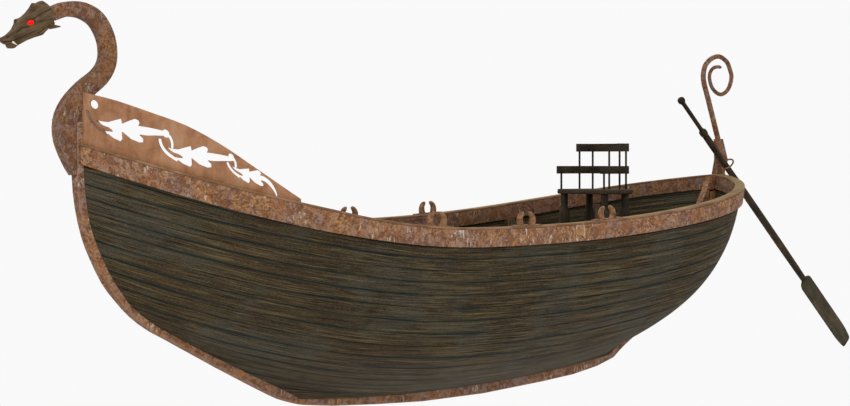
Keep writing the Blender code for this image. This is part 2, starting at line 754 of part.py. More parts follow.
def scroll_cutters():
    """Upright prisms that cut the whole leaf pattern out of a flat board."""
    cutters = []
    for number, (along, height, scale, slope) in enumerate(SCROLLS):

        def placed(outline):
            return [(along + a * scale, height + b * scale + a * scale * slope)
                    for a, b in outline]

        bud = [(0.038 * math.cos(math.pi * j / 6), 0.038 * math.sin(math.pi * j / 6))
               for j in range(12)]
        last = number == len(SCROLLS) - 1
        strand = LEFT_STRAND[1:] if last else LEFT_STRAND
        outlines = [bud, LEAF, ribbon(strand, (0.034, 0.036, 0.036, 0.036, 0.030))]
        outlines.append(ribbon(TAIL, (0.060, 0.062, 0.055, 0.036, 0.016)) if last
                        else ribbon(STALK, (0.070, 0.070, 0.056, 0.042, 0.040)))
        if number:
            outlines.append(ribbon(RIGHT_STRAND, (0.034, 0.032, 0.030, 0.024)))
        for outline in outlines:
            cutters.append(("DIFFERENCE", prism(placed(outline), -0.05, 0.05)))
    return cutters


def washboards():
    for side, side_name in ((-1, "port"), (1, "starboard")):
        outline = [(BOARD_TOP[0][0], -0.06)] + list(smooth_line(BOARD_TOP, 3))
        outline.append((BOARD_TOP[-1][0], -0.06))
        half = BOARD_THICK / 2
        board = boolean(prism(outline, -half, half), scroll_cutters())
        for i in range(1, 14):
            geom = board.verts[:] + board.edges[:] + board.faces[:]
            bmesh.ops.bisect_plane(board, geom=geom, dist=1e-6, plane_co=(i * 0.13, 0, 0),
                                   plane_no=(1, 0, 0))
        bmesh.ops.triangulate(board, faces=board.faces)
        bend_along(board, cap_path(side), side)
        board = boolean(board, [("DIFFERENCE", cap_cutter(side)), ("DIFFERENCE", bow_cutter())])
        add_object(f"washboard_{side_name}", board, COPPER_WOOD)


def bend_along(shape, path, side):
    """Bend a board that stands along x so that it follows a path, keeping its height."""
    lengths = [0.047]
    for one, two in zip(path, path[1:]):
        lengths.append(lengths[-1] + (two.xy - one.xy).length)
    for vert in shape.verts:
        run = vert.co.x
        i = 0
        while i < len(path) - 2 and lengths[i + 1] < run:
            i += 1
        share = (run - lengths[i]) / (lengths[i + 1] - lengths[i])
        here = path[i] + (path[i + 1] - path[i]) * share
        first = (path[i + 1] - path[i]).xy.normalized()
        other = (path[i + 2] - path[i + 1]) if share > 0.5 else (path[i] - path[max(i - 1, 0)])
        if other.length > 1e-6:
            mixed = first.lerp(other.xy.normalized(), abs(share - 0.5))
            first = mixed.normalized()
        across = Vector((-first.y, first.x, 0.0)) * side
        vert.co = here + across * vert.co.y + Vector((0.0, 0.0, vert.co.z))
    if side < 0:
        bmesh.ops.reverse_faces(shape, faces=shape.faces)
    bmesh.ops.recalc_face_normals(shape, faces=shape.faces)


# Dragon prow

NECK_WIDTH = 0.100
# Middle line of the neck, upwards. Columns: x, z, depth fore and aft
NECK_LINE = (
    (-4.012, 1.600, 0.022), (-4.045, 1.700, 0.080), (-4.085, 1.880, 0.160),
    (-4.088, 2.030, 0.170), (-4.030, 2.160, 0.165), (-3.910, 2.290, 0.155),
    (-3.770, 2.400, 0.145), (-3.700, 2.510, 0.135), (-3.690, 2.630, 0.130),
    (-3.720, 2.750, 0.130), (-3.800, 2.870, 0.130), (-3.930, 2.935, 0.125),
    (-4.070, 2.940, 0.120), (-4.180, 2.905, 0.112), (-4.300, 2.850, 0.110),
)
HEAD_ORIGIN = Vector((-4.215, 0.0, 2.895))
HEAD_ANGLE = math.radians(25.85)
# Sections of the head. Columns: distance to the snout, top, bottom, half width, half crown
HEAD_SECTIONS = (
    (0.002, 0.085, -0.052, 0.066, 0.030),
    (0.030, 0.128, -0.066, 0.072, 0.022),
    (0.062, 0.131, -0.074, 0.074, 0.018),
    (0.088, 0.128, -0.078, 0.075, 0.020),
    (0.116, 0.145, -0.080, 0.075, 0.016),
    (0.148, 0.119, -0.083, 0.074, 0.022),
    (0.190, 0.094, -0.087, 0.072, 0.040),
    (0.237, 0.079, -0.088, 0.066, 0.048),
    (0.276, 0.079, -0.088, 0.060, 0.046),
    (0.303, 0.086, -0.086, 0.056, 0.042),
    (0.322, 0.056, -0.084, 0.053, 0.036),
    (0.373, 0.024, -0.080, 0.048, 0.026),
    (0.431, 0.006, -0.074, 0.050, 0.024),
    (0.475, 0.004, -0.062, 0.046, 0.022),
    (0.514, 0.008, -0.012, 0.026, 0.012),
)
# Underside of the jaw. Columns: distance to the snout, bottom, half width
JAW_SECTIONS = (
    (0.020, -0.090, 0.050),
    (0.077, -0.096, 0.056),
    (0.116, -0.106, 0.056),
    (0.155, -0.121, 0.054),
    (0.229, -0.109, 0.050),
    (0.300, -0.103, 0.046),
    (0.386, -0.107, 0.042),
    (0.430, -0.116, 0.044),
    (0.466, -0.098, 0.034),
)


def neck():
    rows = smooth_line(NECK_LINE, 3)
    line = [(x, z) for x, z, _ in rows]
    front, back = [], []
    for i, (x, z, depth) in enumerate(rows):
        step = side_step(line, i) * depth / 2
        front.append((x + step.x, z + step.y))
        back.append((x - step.x, z - step.y))
    half = NECK_WIDTH / 2
    shape = prism(front + back[::-1], -half, half)
    stem = box((-4.0 - GAP, -1.0, 1.0), (-3.5, 1.0, STEM_TOP + GAP))
    blank = box((0.002 - GAP, -1.0, -0.20), (2.0, 1.0, 1.0))
    blank.transform(head_frame())
    shape = largest(boolean(shape, [("DIFFERENCE", stem), ("DIFFERENCE", blank)]))
    add_object("dragon_neck", shape, RUST)


def head_frame():
    """From the head's own axes, x along the snout and z up, to the boat's."""
    turn = Matrix.Rotation(math.pi, 4, "Z")
    dip = Matrix.Rotation(HEAD_ANGLE, 4, "Y")
    return Matrix.Translation(HEAD_ORIGIN) @ turn @ dip


def loft(rings):
    shape = bmesh.new()
    rows = [[shape.verts.new(p) for p in ring] for ring in rings]
    count = len(rows[0])
    for one, two in zip(rows, rows[1:]):
        for j in range(count):
            k = (j + 1) % count
            shape.faces.new((one[j], one[k], two[k]))
            shape.faces.new((one[j], two[k], two[j]))
    shape.faces.new(rows[0][::-1])
    shape.faces.new(rows[-1])
    bmesh.ops.recalc_face_normals(shape, faces=shape.faces)
    return shape


def head_blank(grow=0.0):
    """The head without its jaw, in its own axes, grown all round to cut what lies against it."""
    rings = []
    for number, (t, top, bottom, half, crown) in enumerate(HEAD_SECTIONS):
        if number == 0:
            t -= grow
        elif number == len(HEAD_SECTIONS) - 1:
            t += grow
        tall = top - bottom
        side = ((0.72, 0.0), (1.0, 0.22), (1.0, 0.50), (0.86, 0.70))
        half_ring = [(half * a + grow, bottom + tall * b - (grow if b == 0.0 else 0.0))
                     for a, b in side]
        half_ring.append((crown + grow, top + grow))
        ring = [(t, y, z) for y, z in half_ring] + [(t, -y, z) for y, z in reversed(half_ring)]
        rings.append(ring)
    return loft(rings)


def jaw_blank(grow=0.0):
    rings = []
    for number, (t, bottom, half) in enumerate(JAW_SECTIONS):
        if number == 0:
            t -= grow
        elif number == len(JAW_SECTIONS) - 1:
            t += grow
        half += grow
        bottom -= grow
        ring = [(t, half, -0.050), (t, half, bottom + 0.014), (t, half * 0.6, bottom)]
        rings.append(ring + [(t, -y, z) for _, y, z in reversed(ring)])
    return loft(rings)


def cone(base, tip, radius, sides=8):
    """A spike from the middle of its base to its tip."""
    shape = bmesh.new()
    base, tip = Vector(base), Vector(tip)
    along = (tip - base).normalized()
    across = along.orthogonal().normalized()
    other = along.cross(across)
    ring = []
    for j in range(sides):
        turn = 2 * math.pi * j / sides
        ring.append(shape.verts.new(base + (across * math.cos(turn) + other * math.sin(turn)) * radius))
    point = shape.verts.new(tip)
    for j in range(sides):
        shape.faces.new((ring[j], ring[(j + 1) % sides], point))
    shape.faces.new(ring[::-1])
    bmesh.ops.recalc_face_normals(shape, faces=shape.faces)
    return shape


def dragon_head():
    frame = head_frame()
    head = head_blank()
    jaw = boolean(jaw_blank(), [("DIFFERENCE", head_blank(GAP))])
    pieces = [("dragon_jaw", jaw, HEAD_WOOD)]
    for side, side_name in ((-1, "port"), (1, "starboard")):
        spike = cone((0.080, 0.048 * side, -0.078), (-0.024, 0.066 * side, -0.127), 0.026)
        spike = largest(boolean(spike, [("DIFFERENCE", jaw_blank(GAP))]))
        head = boolean(head, [("UNION", spike)])
        fang = cone((0.436, 0.047 * side, -0.056), (0.404, 0.054 * side, -0.106), 0.011)
        fang = boolean(fang, [("DIFFERENCE", head_blank(GAP)), ("DIFFERENCE", jaw_blank(GAP))])
        pieces.append((f"dragon_fang_{side_name}", largest(fang), TOOTH))
        eye = bmesh.new()
        bmesh.ops.create_uvsphere(eye, u_segments=12, v_segments=8, radius=0.034)
        eye.transform(Matrix.Translation((0.224, 0.050 * side, 0.015))
                      @ Matrix.Rotation(math.radians(-14), 4, "Y")
                      @ Matrix.Diagonal((1.0, 0.75, 0.72, 1.0)))
        eye = boolean(eye, [("DIFFERENCE", head_blank(GAP)), ("DIFFERENCE", inside_half(side))])
        pieces.append((f"dragon_eye_{side_name}", largest(eye), EYE_RED))
    pieces.append(("dragon_head", head, HEAD_WOOD))
    for name, shape, finish in pieces:
        shape.transform(frame)
        add_object(name, shape, finish)


def inside_half(side):
    """The head's own half space on the other side of its middle."""
    low, high = sorted((side * -1.0, side * 0.030))
    return box((0.0, low, -0.5), (0.6, high, 0.5))


def largest(shape):
    """Keep the largest of the closed bodies that a cut has left."""
    groups, seen = [], set()
    for face in shape.faces:
        if face in seen:
            continue
        group, queue = [], [face]
        seen.add(face)
        while queue:
            item = queue.pop()
            group.append(item)
            for edge in item.edges:
                for other in edge.link_faces:
                    if other not in seen:
                        seen.add(other)
                        queue.append(other)
        groups.append(group)
    groups.sort(key=lambda group: sum(f.calc_area() for f in group))
    for group in groups[:-1]:
        bmesh.ops.delete(shape, geom=group, context="FACES")
    return shape


# Stern scroll

def stern_scroll():
    foot = ((3.700, 1.500), (3.816, 1.500), (3.823, 1.571), (3.888, 1.720), (3.829, 1.943),
            (3.737, 1.943), (3.745, 1.720), (3.706, 1.571))
    post = prism(foot, -0.035, 0.035)
    half = BACKBONE / 2
    cutter = strip(cap_rows(-0.1, CAP + GAP, 0.02), -1)
    other = strip(cap_rows(-0.1, CAP + GAP, 0.02), 1)
    seam = box((3.4, -half, 1.3), (4.0, half, PLANK_EDGES[-1][3] + CAP + GAP))
    post = boolean(post, [("DIFFERENCE", seam), ("DIFFERENCE", cutter), ("DIFFERENCE", other)])
    add_object("scroll_post", largest(post), RUST)
    # Outer edge of the curled rod, upwards and round. Columns: x, z, thickness
    edge = (
        (3.745, 1.9433, 0.052), (3.659, 2.164, 0.052), (3.590, 2.353, 0.051),
        (3.516, 2.562, 0.050), (3.534, 2.699, 0.048), (3.596, 2.775, 0.047),
        (3.675, 2.819, 0.046), (3.753, 2.839, 0.045), (3.832, 2.830, 0.044),
        (3.928, 2.775, 0.043), (3.983, 2.680, 0.042), (4.003, 2.606, 0.041),
        (3.975, 2.509, 0.040), (3.912, 2.433, 0.039), (3.808, 2.396, 0.038),
        (3.706, 2.434, 0.037), (3.643, 2.502, 0.036), (3.617, 2.591, 0.035),
        (3.635, 2.660, 0.034), (3.690, 2.709, 0.034), (3.760, 2.724, 0.033),
        (3.815, 2.718, 0.026),
    )
    rows = smooth_line(edge, 2)
    line = [(x, z) for x, z, _ in rows]
    inner = []
    for i, (x, z, thick) in enumerate(rows):
        step = side_step(line, i) * -thick
        inner.append((x + step.x, z + step.y))
    rod = prism(line + inner[::-1], -0.022, 0.022)
    socket = box((3.0, -1.0, 1.0), (4.5, 1.0, 1.943 + GAP))
    add_object("scroll_rod", boolean(rod, [("DIFFERENCE", socket)]), RUST)


# Steering oar, built along x from its pivot and turned down into place

PIVOT = Vector((3.709, -0.140, 1.628))
OAR_ANGLE = math.radians(44.4)
LOOM = 0.0325                 # radius of the loom
RING = 0.070                  # radius of the ring's middle line
RING_BAR = 0.009              # radius of its bar
PIN_FOOT = 1.5615             # foot of its pin, level and just clear of the sloping cap
LOOM_HEIGHT = LOOM + RING_BAR + GAP
# The turned grip, from its knob down. Columns: distance from the pivot, radius
GRIP_PROFILE = (
    (-0.998, 0.018), (-0.990, 0.032), (-0.972, 0.040), (-0.948, 0.038), (-0.930, 0.026),
    (-0.915, 0.0225), (-0.535, 0.0225), (-0.522, 0.036), (-0.510, 0.0425), (-0.470, 0.0425),
    (-0.458, 0.0340),
)
# The blade's edges. Columns: distance from the pivot, half width
BLADE_EDGE = (
    (1.780, 0.036), (1.860, 0.060), (1.960, 0.078), (2.150, 0.088), (2.450, 0.094),
    (2.700, 0.096), (2.790, 0.088), (2.820, 0.070),
)


def turned_along(profile, sides=16):
    """A turned body along x from (x, radius) pairs, at the loom's height over the pivot."""
    rings = []
    for x, radius in profile:
        ring = []
        for j in range(sides):
            turn = 2 * math.pi * (j + 0.5) / sides
            ring.append((x, radius * math.cos(turn), LOOM_HEIGHT + radius * math.sin(turn)))
        rings.append(ring)
    return loft(rings)


def place_oar(name, shape, finish, smooth):
    made = add_object(name, shape, finish, smooth)
    made.location = PIVOT
    made.rotation_euler = (0.0, OAR_ANGLE, 0.0)


def steering_oar():
    place_oar("oar_grip", turned_along(GRIP_PROFILE), DARK_WOOD, True)
    loom = ((-0.458 + GAP, LOOM), (1.20, LOOM), (1.780 - GAP, 0.029))
    place_oar("oar_loom", turned_along(loom), DARK_WOOD, True)
    rings = []
    for x, half in BLADE_EDGE:
        thick = 0.018 - 0.010 * (x - 1.78)
        rings.append([(x, -thick, LOOM_HEIGHT - half * 0.6), (x, -0.004, LOOM_HEIGHT - half),
                      (x, 0.004, LOOM_HEIGHT - half), (x, thick, LOOM_HEIGHT - half * 0.6),
                      (x, thick, LOOM_HEIGHT + half * 0.6), (x, 0.004, LOOM_HEIGHT + half),
                      (x, -0.004, LOOM_HEIGHT + half), (x, -thick, LOOM_HEIGHT + half * 0.6)])
    place_oar("oar_blade", loft(rings), DARK_WOOD, False)


def oar_ring():
    """A ring for the loom on a pin that turns on the cap; the pin is on the pivot's upright."""
    ring = bmesh.new()
    rows = []
    for i in range(28):
        turn = 2 * math.pi * i / 28
        row = []
        for j in range(8):
            bend = 2 * math.pi * j / 8
            radius = RING + RING_BAR * math.cos(bend)
            row.append(ring.verts.new((RING_BAR * math.sin(bend), radius * math.cos(turn),
                                       RING + radius * math.sin(turn))))
        rows.append(row)
    for one, two in zip(rows, rows[1:] + rows[:1]):
        for j in range(8):
            k = (j + 1) % 8
            ring.faces.new((one[j], one[k], two[k], two[j]))
    bmesh.ops.recalc_face_normals(ring, faces=ring.faces)
    ring.transform(Matrix.Rotation(OAR_ANGLE, 4, "Y"))
    pin = turned(((0.010, PIN_FOOT - PIVOT.z), (0.010, -0.004)), (0.0, 0.0), 10)
    ring = boolean(ring, [("UNION", pin)])
    made = add_object("oar_ring", largest(ring), BRONZE, smooth=True)
    made.location = PIVOT


def main():
    clear_scene()
    hull_planking()
    backbone()
    stern_knee()
    rails()
    frames()
    stringers()
    floorboards()
    thwarts()
    stern_deck()
    chair()
    rowlocks()
    washboards()
    neck()
    dragon_head()
    stern_scroll()
    oar_ring()
    steering_oar()


main()
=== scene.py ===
# The looks of a wooden dragon boat: dark planks, rusty gunwales, a pierced bow, a goose-neck
# dragon and a long steering oar. Metres, +Z up, bow towards -X, port side towards -Y.

import math

import bmesh
import bpy
from mathutils import Matrix, Vector


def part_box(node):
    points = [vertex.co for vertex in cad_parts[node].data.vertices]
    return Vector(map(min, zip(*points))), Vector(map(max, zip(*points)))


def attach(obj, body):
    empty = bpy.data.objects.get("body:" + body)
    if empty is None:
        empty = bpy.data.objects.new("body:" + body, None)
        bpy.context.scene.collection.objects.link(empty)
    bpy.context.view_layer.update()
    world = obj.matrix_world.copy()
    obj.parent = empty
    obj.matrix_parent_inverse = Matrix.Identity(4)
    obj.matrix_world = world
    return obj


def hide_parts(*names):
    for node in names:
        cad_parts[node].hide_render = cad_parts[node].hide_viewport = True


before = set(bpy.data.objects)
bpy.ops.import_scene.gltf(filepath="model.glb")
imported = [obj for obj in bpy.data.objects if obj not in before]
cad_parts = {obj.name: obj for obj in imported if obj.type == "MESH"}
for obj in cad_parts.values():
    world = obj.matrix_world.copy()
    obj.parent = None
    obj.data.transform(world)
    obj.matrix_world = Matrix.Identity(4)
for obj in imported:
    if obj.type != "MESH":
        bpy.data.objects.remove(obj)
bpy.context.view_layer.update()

# The camera, where the photograph was taken from: off the port bow at a standing person's
# height, with a long lens. It is level, and its shift frames the boat under the horizon.
CAMERA_PLACE = (-12.2408, -14.2469, 1.72)
CAMERA_YAW = math.radians(-40.0)
PHOTO_WIDTH = 850
FOCAL_PIXELS = 2000
HORIZON_SHIFT = -43
SENSOR = 36.0

lens = bpy.data.cameras.new("camera")
lens.sensor_width = SENSOR
lens.lens = SENSOR * FOCAL_PIXELS / PHOTO_WIDTH
lens.shift_y = HORIZON_SHIFT / PHOTO_WIDTH
lens.clip_end = 200.0
camera = bpy.data.objects.new("camera", lens)
camera.location = CAMERA_PLACE
camera.rotation_euler = (math.radians(90.0), 0.0, CAMERA_YAW)
bpy.context.scene.collection.objects.link(camera)
bpy.context.scene.camera = camera


# Hull planking: oak strakes laid edge to edge on the frames and butted to the stem and the
# sternpost. Weather has turned them dark brown, and their tarred seams are green-black.

PLANK = 0.034                 # thickness of a plank
# Where the plank rows' edges run, from the keel up to the sheer.
# Columns: stem x, stem z, post x, post z, half breadth amidships, height amidships
PLANK_EDGES = (
    (-1.770, -0.385, 2.080, -0.238, 0.055, -0.430),
    (-2.790, 0.095, 2.490, 0.030, 0.465, -0.300),
    (-3.400, 0.430, 2.850, 0.300, 0.810, -0.120),
    (-3.645, 0.690, 3.130, 0.540, 1.045, 0.090),
    (-3.795, 0.950, 3.350, 0.760, 1.175, 0.320),
    (-3.890, 1.190, 3.520, 0.970, 1.240, 0.550),
    (-3.932, 1.420, 3.640, 1.170, 1.270, 0.760),
    (-3.950, 1.640, 3.720, 1.370, 1.285, 0.960),
    (-3.952, 1.835, 3.765, 1.550, 1.290, 1.115),
)
SHEER = len(PLANK_EDGES) - 1
STRAKES_PER_ROW = (3, 3, 2, 2, 2, 2, 2, 1)
LOW_POINT = -0.60             # x where the sheer and the keel are lowest
SHEER_POWER = 2.1             # how steeply they rise towards the ends
BOW_POWER = 1.58              # how gently the planks close in towards the stem
STERN_POWER = (5.5, 4.7)      # and towards the sternpost, at the keel and at the sheer
STERN_FULLNESS = (0.98, 0.90) # how full the stern stays, at the keel and at the sheer
HEEL = 0.040                  # half breadth at which the planks run into the backbone
CLEAR = 0.004                 # how near to the centreline their inner faces come
BACKBONE_HALF = 0.0503        # half breadth of the backbone, where the lowest planks begin
SHOULDER = (0.20, -2.30)      # x where the bow's curve begins, at the keel and at the sheer
QUARTER = (0.43, 0.50)        # x where the stern's curve begins, at the keel and at the sheer
STATIONS = 96                 # steps along the hull
SEAM = (0.016, 0.0030)        # half width of a seam, as a share of a strake, and its depth
MERGE = 0.00002               # points of a mesh closer than this are one point
SIDES = ((-1, "port"), (1, "starboard"))


def colour(red, green, blue):
    """A colour as a shader takes it, from the 0 to 255 values of a picture."""
    return tuple(((c / 255 + 0.055) / 1.055) ** 2.4 if c > 10 else c / 3295
                 for c in (red, green, blue)) + (1.0,)


def blend(low, high, share):
    return low + (high - low) * share


def edge_point(edge, share):
    """A point on a plank row's edge, share of the way from the stem to the sternpost."""
    stem_x, stem_z, post_x, post_z, breadth, middle = PLANK_EDGES[edge]
    x = blend(stem_x, post_x, share)
    level = edge / SHEER
    shoulder, quarter = blend(*SHOULDER, level), blend(*QUARTER, level)
    ahead = min(max((shoulder - x) / (shoulder - stem_x), 0.0), 1.0)
    astern = min(max((x - quarter) / (post_x - quarter), 0.0), 1.0)
    run = (1 - astern ** blend(*STERN_POWER, level)) ** blend(*STERN_FULLNESS, level)
    y = HEEL + (breadth - HEEL) * (1 - ahead ** BOW_POWER) * run
    rise = min(max((LOW_POINT - x) / (LOW_POINT - stem_x), 0.0), 1.0) ** SHEER_POWER
    lift = min(max((x - LOW_POINT) / (post_x - LOW_POINT), 0.0), 1.0) ** SHEER_POWER
    z = middle + (stem_z - middle) * rise + (post_z - middle) * lift
    return Vector((x, y if edge else BACKBONE_HALF, z))


def hull_point(level, share):
    """A point on the smooth hull, level counted in plank rows up from the keel."""
    k = min(int(level), SHEER - 1)
    t = level - k
    p0, p1, p2, p3 = (edge_point(min(max(k + d, 0), SHEER), share) for d in (-1, 0, 1, 2))
    return 0.5 * (2 * p1 + (p2 - p0) * t + (2 * p0 - 5 * p1 + 4 * p2 - p3) * t * t
                  + (3 * p1 - p0 - 3 * p2 + p3) * t ** 3)


def hull_normal(level, share):
    step = 0.004
    along = (hull_point(level, min(share + step, 1.0))
             - hull_point(level, max(share - step, 0.0)))
    up = hull_point(min(level + 0.1, SHEER), share) - hull_point(max(level - 0.1, 0), share)
    out = up.cross(along)
    if level == SHEER:
        out.z = 0.0
    return out.normalized()


def station(i, count=STATIONS):
    """Stations lie closer together towards both ends, where the planks bend most."""
    return 0.5 - 0.5 * math.cos(math.pi * i / count)


def grid_body(lines, runs):
    """A closed body from a grid: lines[j][i] is its point on line j at station i.

    Each point carries its length along the boat and the number in runs of its line, for the
    finish to follow. The first and last lines are joined and the ends are filled.
    """
    across, along = len(lines), len(lines[0])
    shape = bmesh.new()
    bmesh.ops.create_grid(shape, x_segments=along - 1, y_segments=across, size=1.0)
    length = shape.verts.layers.float.new("run")
    number = shape.verts.layers.float.new("strake")
    lengths = []
    for line in lines:
        total = [0.0]
        for one, two in zip(line, line[1:]):
            total.append(total[-1] + (two - one).length)
        lengths.append(total)
    for vert in shape.verts:
        i = round((vert.co.x + 1) / 2 * (along - 1))
        j = round((vert.co.y + 1) / 2 * across) % across
        vert.co = lines[j][i]
        vert[length] = lengths[j][i]
        vert[number] = runs[j]
    bmesh.ops.remove_doubles(shape, verts=shape.verts, dist=MERGE)
    bmesh.ops.holes_fill(shape, edges=shape.edges, sides=0)
    bmesh.ops.recalc_face_normals(shape, faces=shape.faces)
    return shape


def piece(name, shape, finish, body, nodes, sharp=35.0):
    """Make a finished piece from a bmesh, which rides on a body and stands for CAD nodes."""
    mesh = bpy.data.meshes.new(name)
    shape.to_mesh(mesh)
    shape.free()
    mesh.shade_smooth()
    mesh.set_sharp_from_angle(angle=math.radians(sharp))
    made = bpy.data.objects.new(name, mesh)
    bpy.context.scene.collection.objects.link(made)
    mesh.materials.append(finish)
    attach(made, body)
    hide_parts(*nodes)


class Value:
    """What one socket of a finish carries; arithmetic on it adds Math nodes."""

    def __init__(self, finish, socket):
        self.finish = finish
        self.socket = socket

    def worked(self, operation, first, second):
        return self.finish.node("Math", {"operation": operation}, {0: first, 1: second})

    def __add__(self, other):
        return self.worked("ADD", self, other)

    def __sub__(self, other):
        return self.worked("SUBTRACT", self, other)

    def __mul__(self, other):
        return self.worked("MULTIPLY", self, other)

    __radd__ = __add__


class Finish:
    """A material being made: its nodes, and the patterns that the boat's finishes share."""

    def __init__(self, name):
        self.material = bpy.data.materials.new(name)
        self.material.use_nodes = True
        self.nodes = self.material.node_tree.nodes
        self.links = self.material.node_tree.links
        self.shader = self.nodes["Principled BSDF"]

    def feed(self, socket, value):
        if isinstance(value, Value):
            self.links.new(value.socket, socket)
        else:
            socket.default_value = value

    def node(self, kind, settings=None, sockets=None, out=0):
        """Add a node, with its settings set first, and return one of its outputs."""
        made = self.nodes.new("ShaderNode" + kind)
        for name, value in (settings or {}).items():
            if name == "stops":
                ramp = made.color_ramp
                while len(ramp.elements) < len(value):
                    ramp.elements.new(0.5)
                for stop, (place, tone) in zip(ramp.elements, value):
                    stop.position = place
                    stop.color = tone
            else:
                setattr(made, name, value)
        for name, value in (sockets or {}).items():
            self.feed(made.inputs[name], value)
        return Value(self, made.outputs[out])

    def place(self, stretch=(1.0, 1.0, 1.0), turn=(0.0, 0.0, 0.0)):
        """The piece's own coordinates in metres, turned and then stretched."""
        where = self.node("TexCoord", out="Object")
        turned = self.node("Mapping", sockets={"Vector": where, "Rotation": turn})
        return self.node("Mapping", sockets={"Vector": turned, "Scale": stretch})

    def attribute(self, name):
        return self.node("Attribute", {"attribute_name": name}, out="Fac")

    def vector(self, x, y, z):
        return self.node("CombineXYZ", sockets={0: x, 1: y, 2: z})

    def noise(self, where, scale, detail, rough=0.55, bend=0.0):
        return self.node("TexNoise", sockets={
            "Vector": where, "Scale": scale, "Detail": detail, "Roughness": rough,
            "Distortion": bend})

    def between(self, value, low, high):
        """0 where the value is at low or under it, 1 at high or over it."""
        return self.node("MapRange", {"interpolation_type": "SMOOTHSTEP"}, {
            "Value": value, "From Min": low, "From Max": high})

    def mix(self, share, first, second):
        return self.node("Mix", {"data_type": "RGBA"}, {0: share, 6: first, 7: second}, 2)

    def ramp(self, value, *stops):
        return self.node("ValToRGB", {"stops": stops}, {0: value})

    def done(self, base, rough, height=None, relief=0.002, metal=0.0, shine=0.15):
        """Feed the shader and return the material; relief is the depth of height in metres."""
        self.feed(self.shader.inputs["Base Color"], base)
        self.feed(self.shader.inputs["Specular IOR Level"], shine)
        self.feed(self.shader.inputs["Roughness"], rough)
        self.feed(self.shader.inputs["Metallic"], metal)
        if height is not None:
            bump = self.node("Bump", sockets={"Height": height, "Distance": relief})
            self.feed(self.shader.inputs["Normal"], bump)
        return self.material


def strake_wood(name):
    """Weathered strakes: tan and black streaks, brown and grey clouds, green-black tar."""
    finish = Finish(name)
    run, strake = finish.attribute("run"), finish.attribute("strake")
    waver = finish.noise(finish.vector(run * 0.8, strake * 0.9, 3.0), 1.0, 4.0, 0.6)
    bent = strake + (waver - 0.5) * 0.55
    streak = finish.noise(finish.vector(run * 1.1, bent * 8.0, 1.0), 1.0, 8.0, 0.72)
    thin = finish.noise(finish.vector(run * 2.4, bent * 26.0, 4.0), 1.0, 5.0, 0.70)
    cracks = finish.noise(finish.vector(run * 1.7, bent * 17.0, 9.0), 1.0, 4.0, 0.65)
    cloud = finish.noise(finish.place((0.8, 0.8, 1.5)), 1.3, 5.0, 0.62, 0.6)
    grit = finish.noise(finish.place(), 70.0, 3.0, 0.65)
    wood = finish.ramp(finish.between(streak, 0.34, 0.66),
                       (0.10, colour(36, 30, 19)), (0.38, colour(56, 47, 30)),
                       (0.62, colour(72, 61, 40)), (0.92, colour(104, 88, 58)))
    wood = finish.mix(finish.between(cloud, 0.50, 0.60) * 0.50, wood, colour(76, 74, 64))
    wood = finish.mix(finish.between(cloud, 0.48, 0.38) * 0.50, wood, colour(62, 44, 26))
    wood = finish.mix(finish.between(thin, 0.55, 0.66) * 0.70, wood, colour(136, 116, 84))
    wood = finish.mix(finish.between(thin, 0.46, 0.36) * 0.65, wood, colour(30, 24, 17))
    wood = finish.mix(finish.between(grit, 0.52, 0.66) * 0.22, wood, colour(122, 108, 86))
    wood = finish.mix(finish.between(grit, 0.46, 0.34) * 0.35, wood, colour(34, 28, 20))
    cracked = finish.between(cracks, 0.42, 0.36)
    wood = finish.mix(cracked * 0.75, wood, colour(16, 13, 10))
    edge = finish.node("Math", {"operation": "PINGPONG"}, {0: bent, 1: 0.5})
    broken = finish.noise(finish.vector(run * 0.7, strake * 0.5, 6.0), 1.3, 3.0, 0.6)
    tar = finish.between(edge, 0.17, 0.03) * finish.between(broken, 0.40, 0.56)
    wood = finish.mix(tar * 0.75, wood, colour(26, 40, 38))
    seam = finish.between(finish.node("Math", {"operation": "PINGPONG"}, {0: strake, 1: 0.5}),
                          0.035, 0.012)
    wood = finish.mix(seam * 0.65, wood, colour(14, 18, 17))
    height = streak * 0.5 + thin * 0.6 + grit * 0.15 - cracked * 0.5
    return finish.done(wood, 0.66 + thin * 0.25, height, 0.008)


def strake_levels():
    """The levels of the seams between the strakes, from the keel to the sheer."""
    levels = []
    for row, count in enumerate(STRAKES_PER_ROW):
        levels += [row + part / count for part in range(count)]
    return levels + [float(SHEER)]


def planking(side):
    """One side's planks as a shell: its outer lines with a groove at each seam, then inner."""
    seams = strake_levels()
    half, groove = SEAM
    outline = []
    for number, (low, high) in enumerate(zip(seams, seams[1:])):
        tall = high - low
        if number:
            outline.append((low, groove, number))
            outline.append((low + tall * half, 0.0, number + half))
        else:
            outline.append((low, 0.0, 0.0))
        outline += [(low + tall * part, 0.0, number + part) for part in (0.35, 0.65)]
        outline.append((high - tall * half, 0.0, number + 1 - half))
    outline.append((high, 0.0, len(seams) - 1))
    for number in range(len(seams) - 1, -1, -1):
        level = seams[number]
        if 0 < number < len(seams) - 1:
            step = (level - seams[number - 1]) * half
            outline += [(level + step, PLANK, number + half), (level, PLANK - groove, number),
                        (level - step, PLANK, number - half)]
        else:
            outline.append((level, PLANK, number))
    lines = []
    for level, depth, _ in outline:
        line = []
        for i in range(STATIONS + 1):
            share = station(i)
            point = hull_point(level, share) - hull_normal(level, share) * depth
            line.append(Vector((point.x, side * max(point.y, CLEAR), point.z)))
        lines.append(line)
    return grid_body(lines, [number for _, _, number in outline])


PLANK_WOOD = strake_wood("plank_wood")
for side, side_name in SIDES:
    nodes = [f"planking_{side_name}_{region}" for region in ("bow", "middle", "stern")]
    piece(f"hull_planks_{side_name}", planking(side), PLANK_WOOD, "hull", nodes)


# Backbone: stem, keel and sternpost, three balks scarfed end to end, with a knee inside the
# stern. Their sawn edges are eased, and a rusty, copper-brown crust covers them.

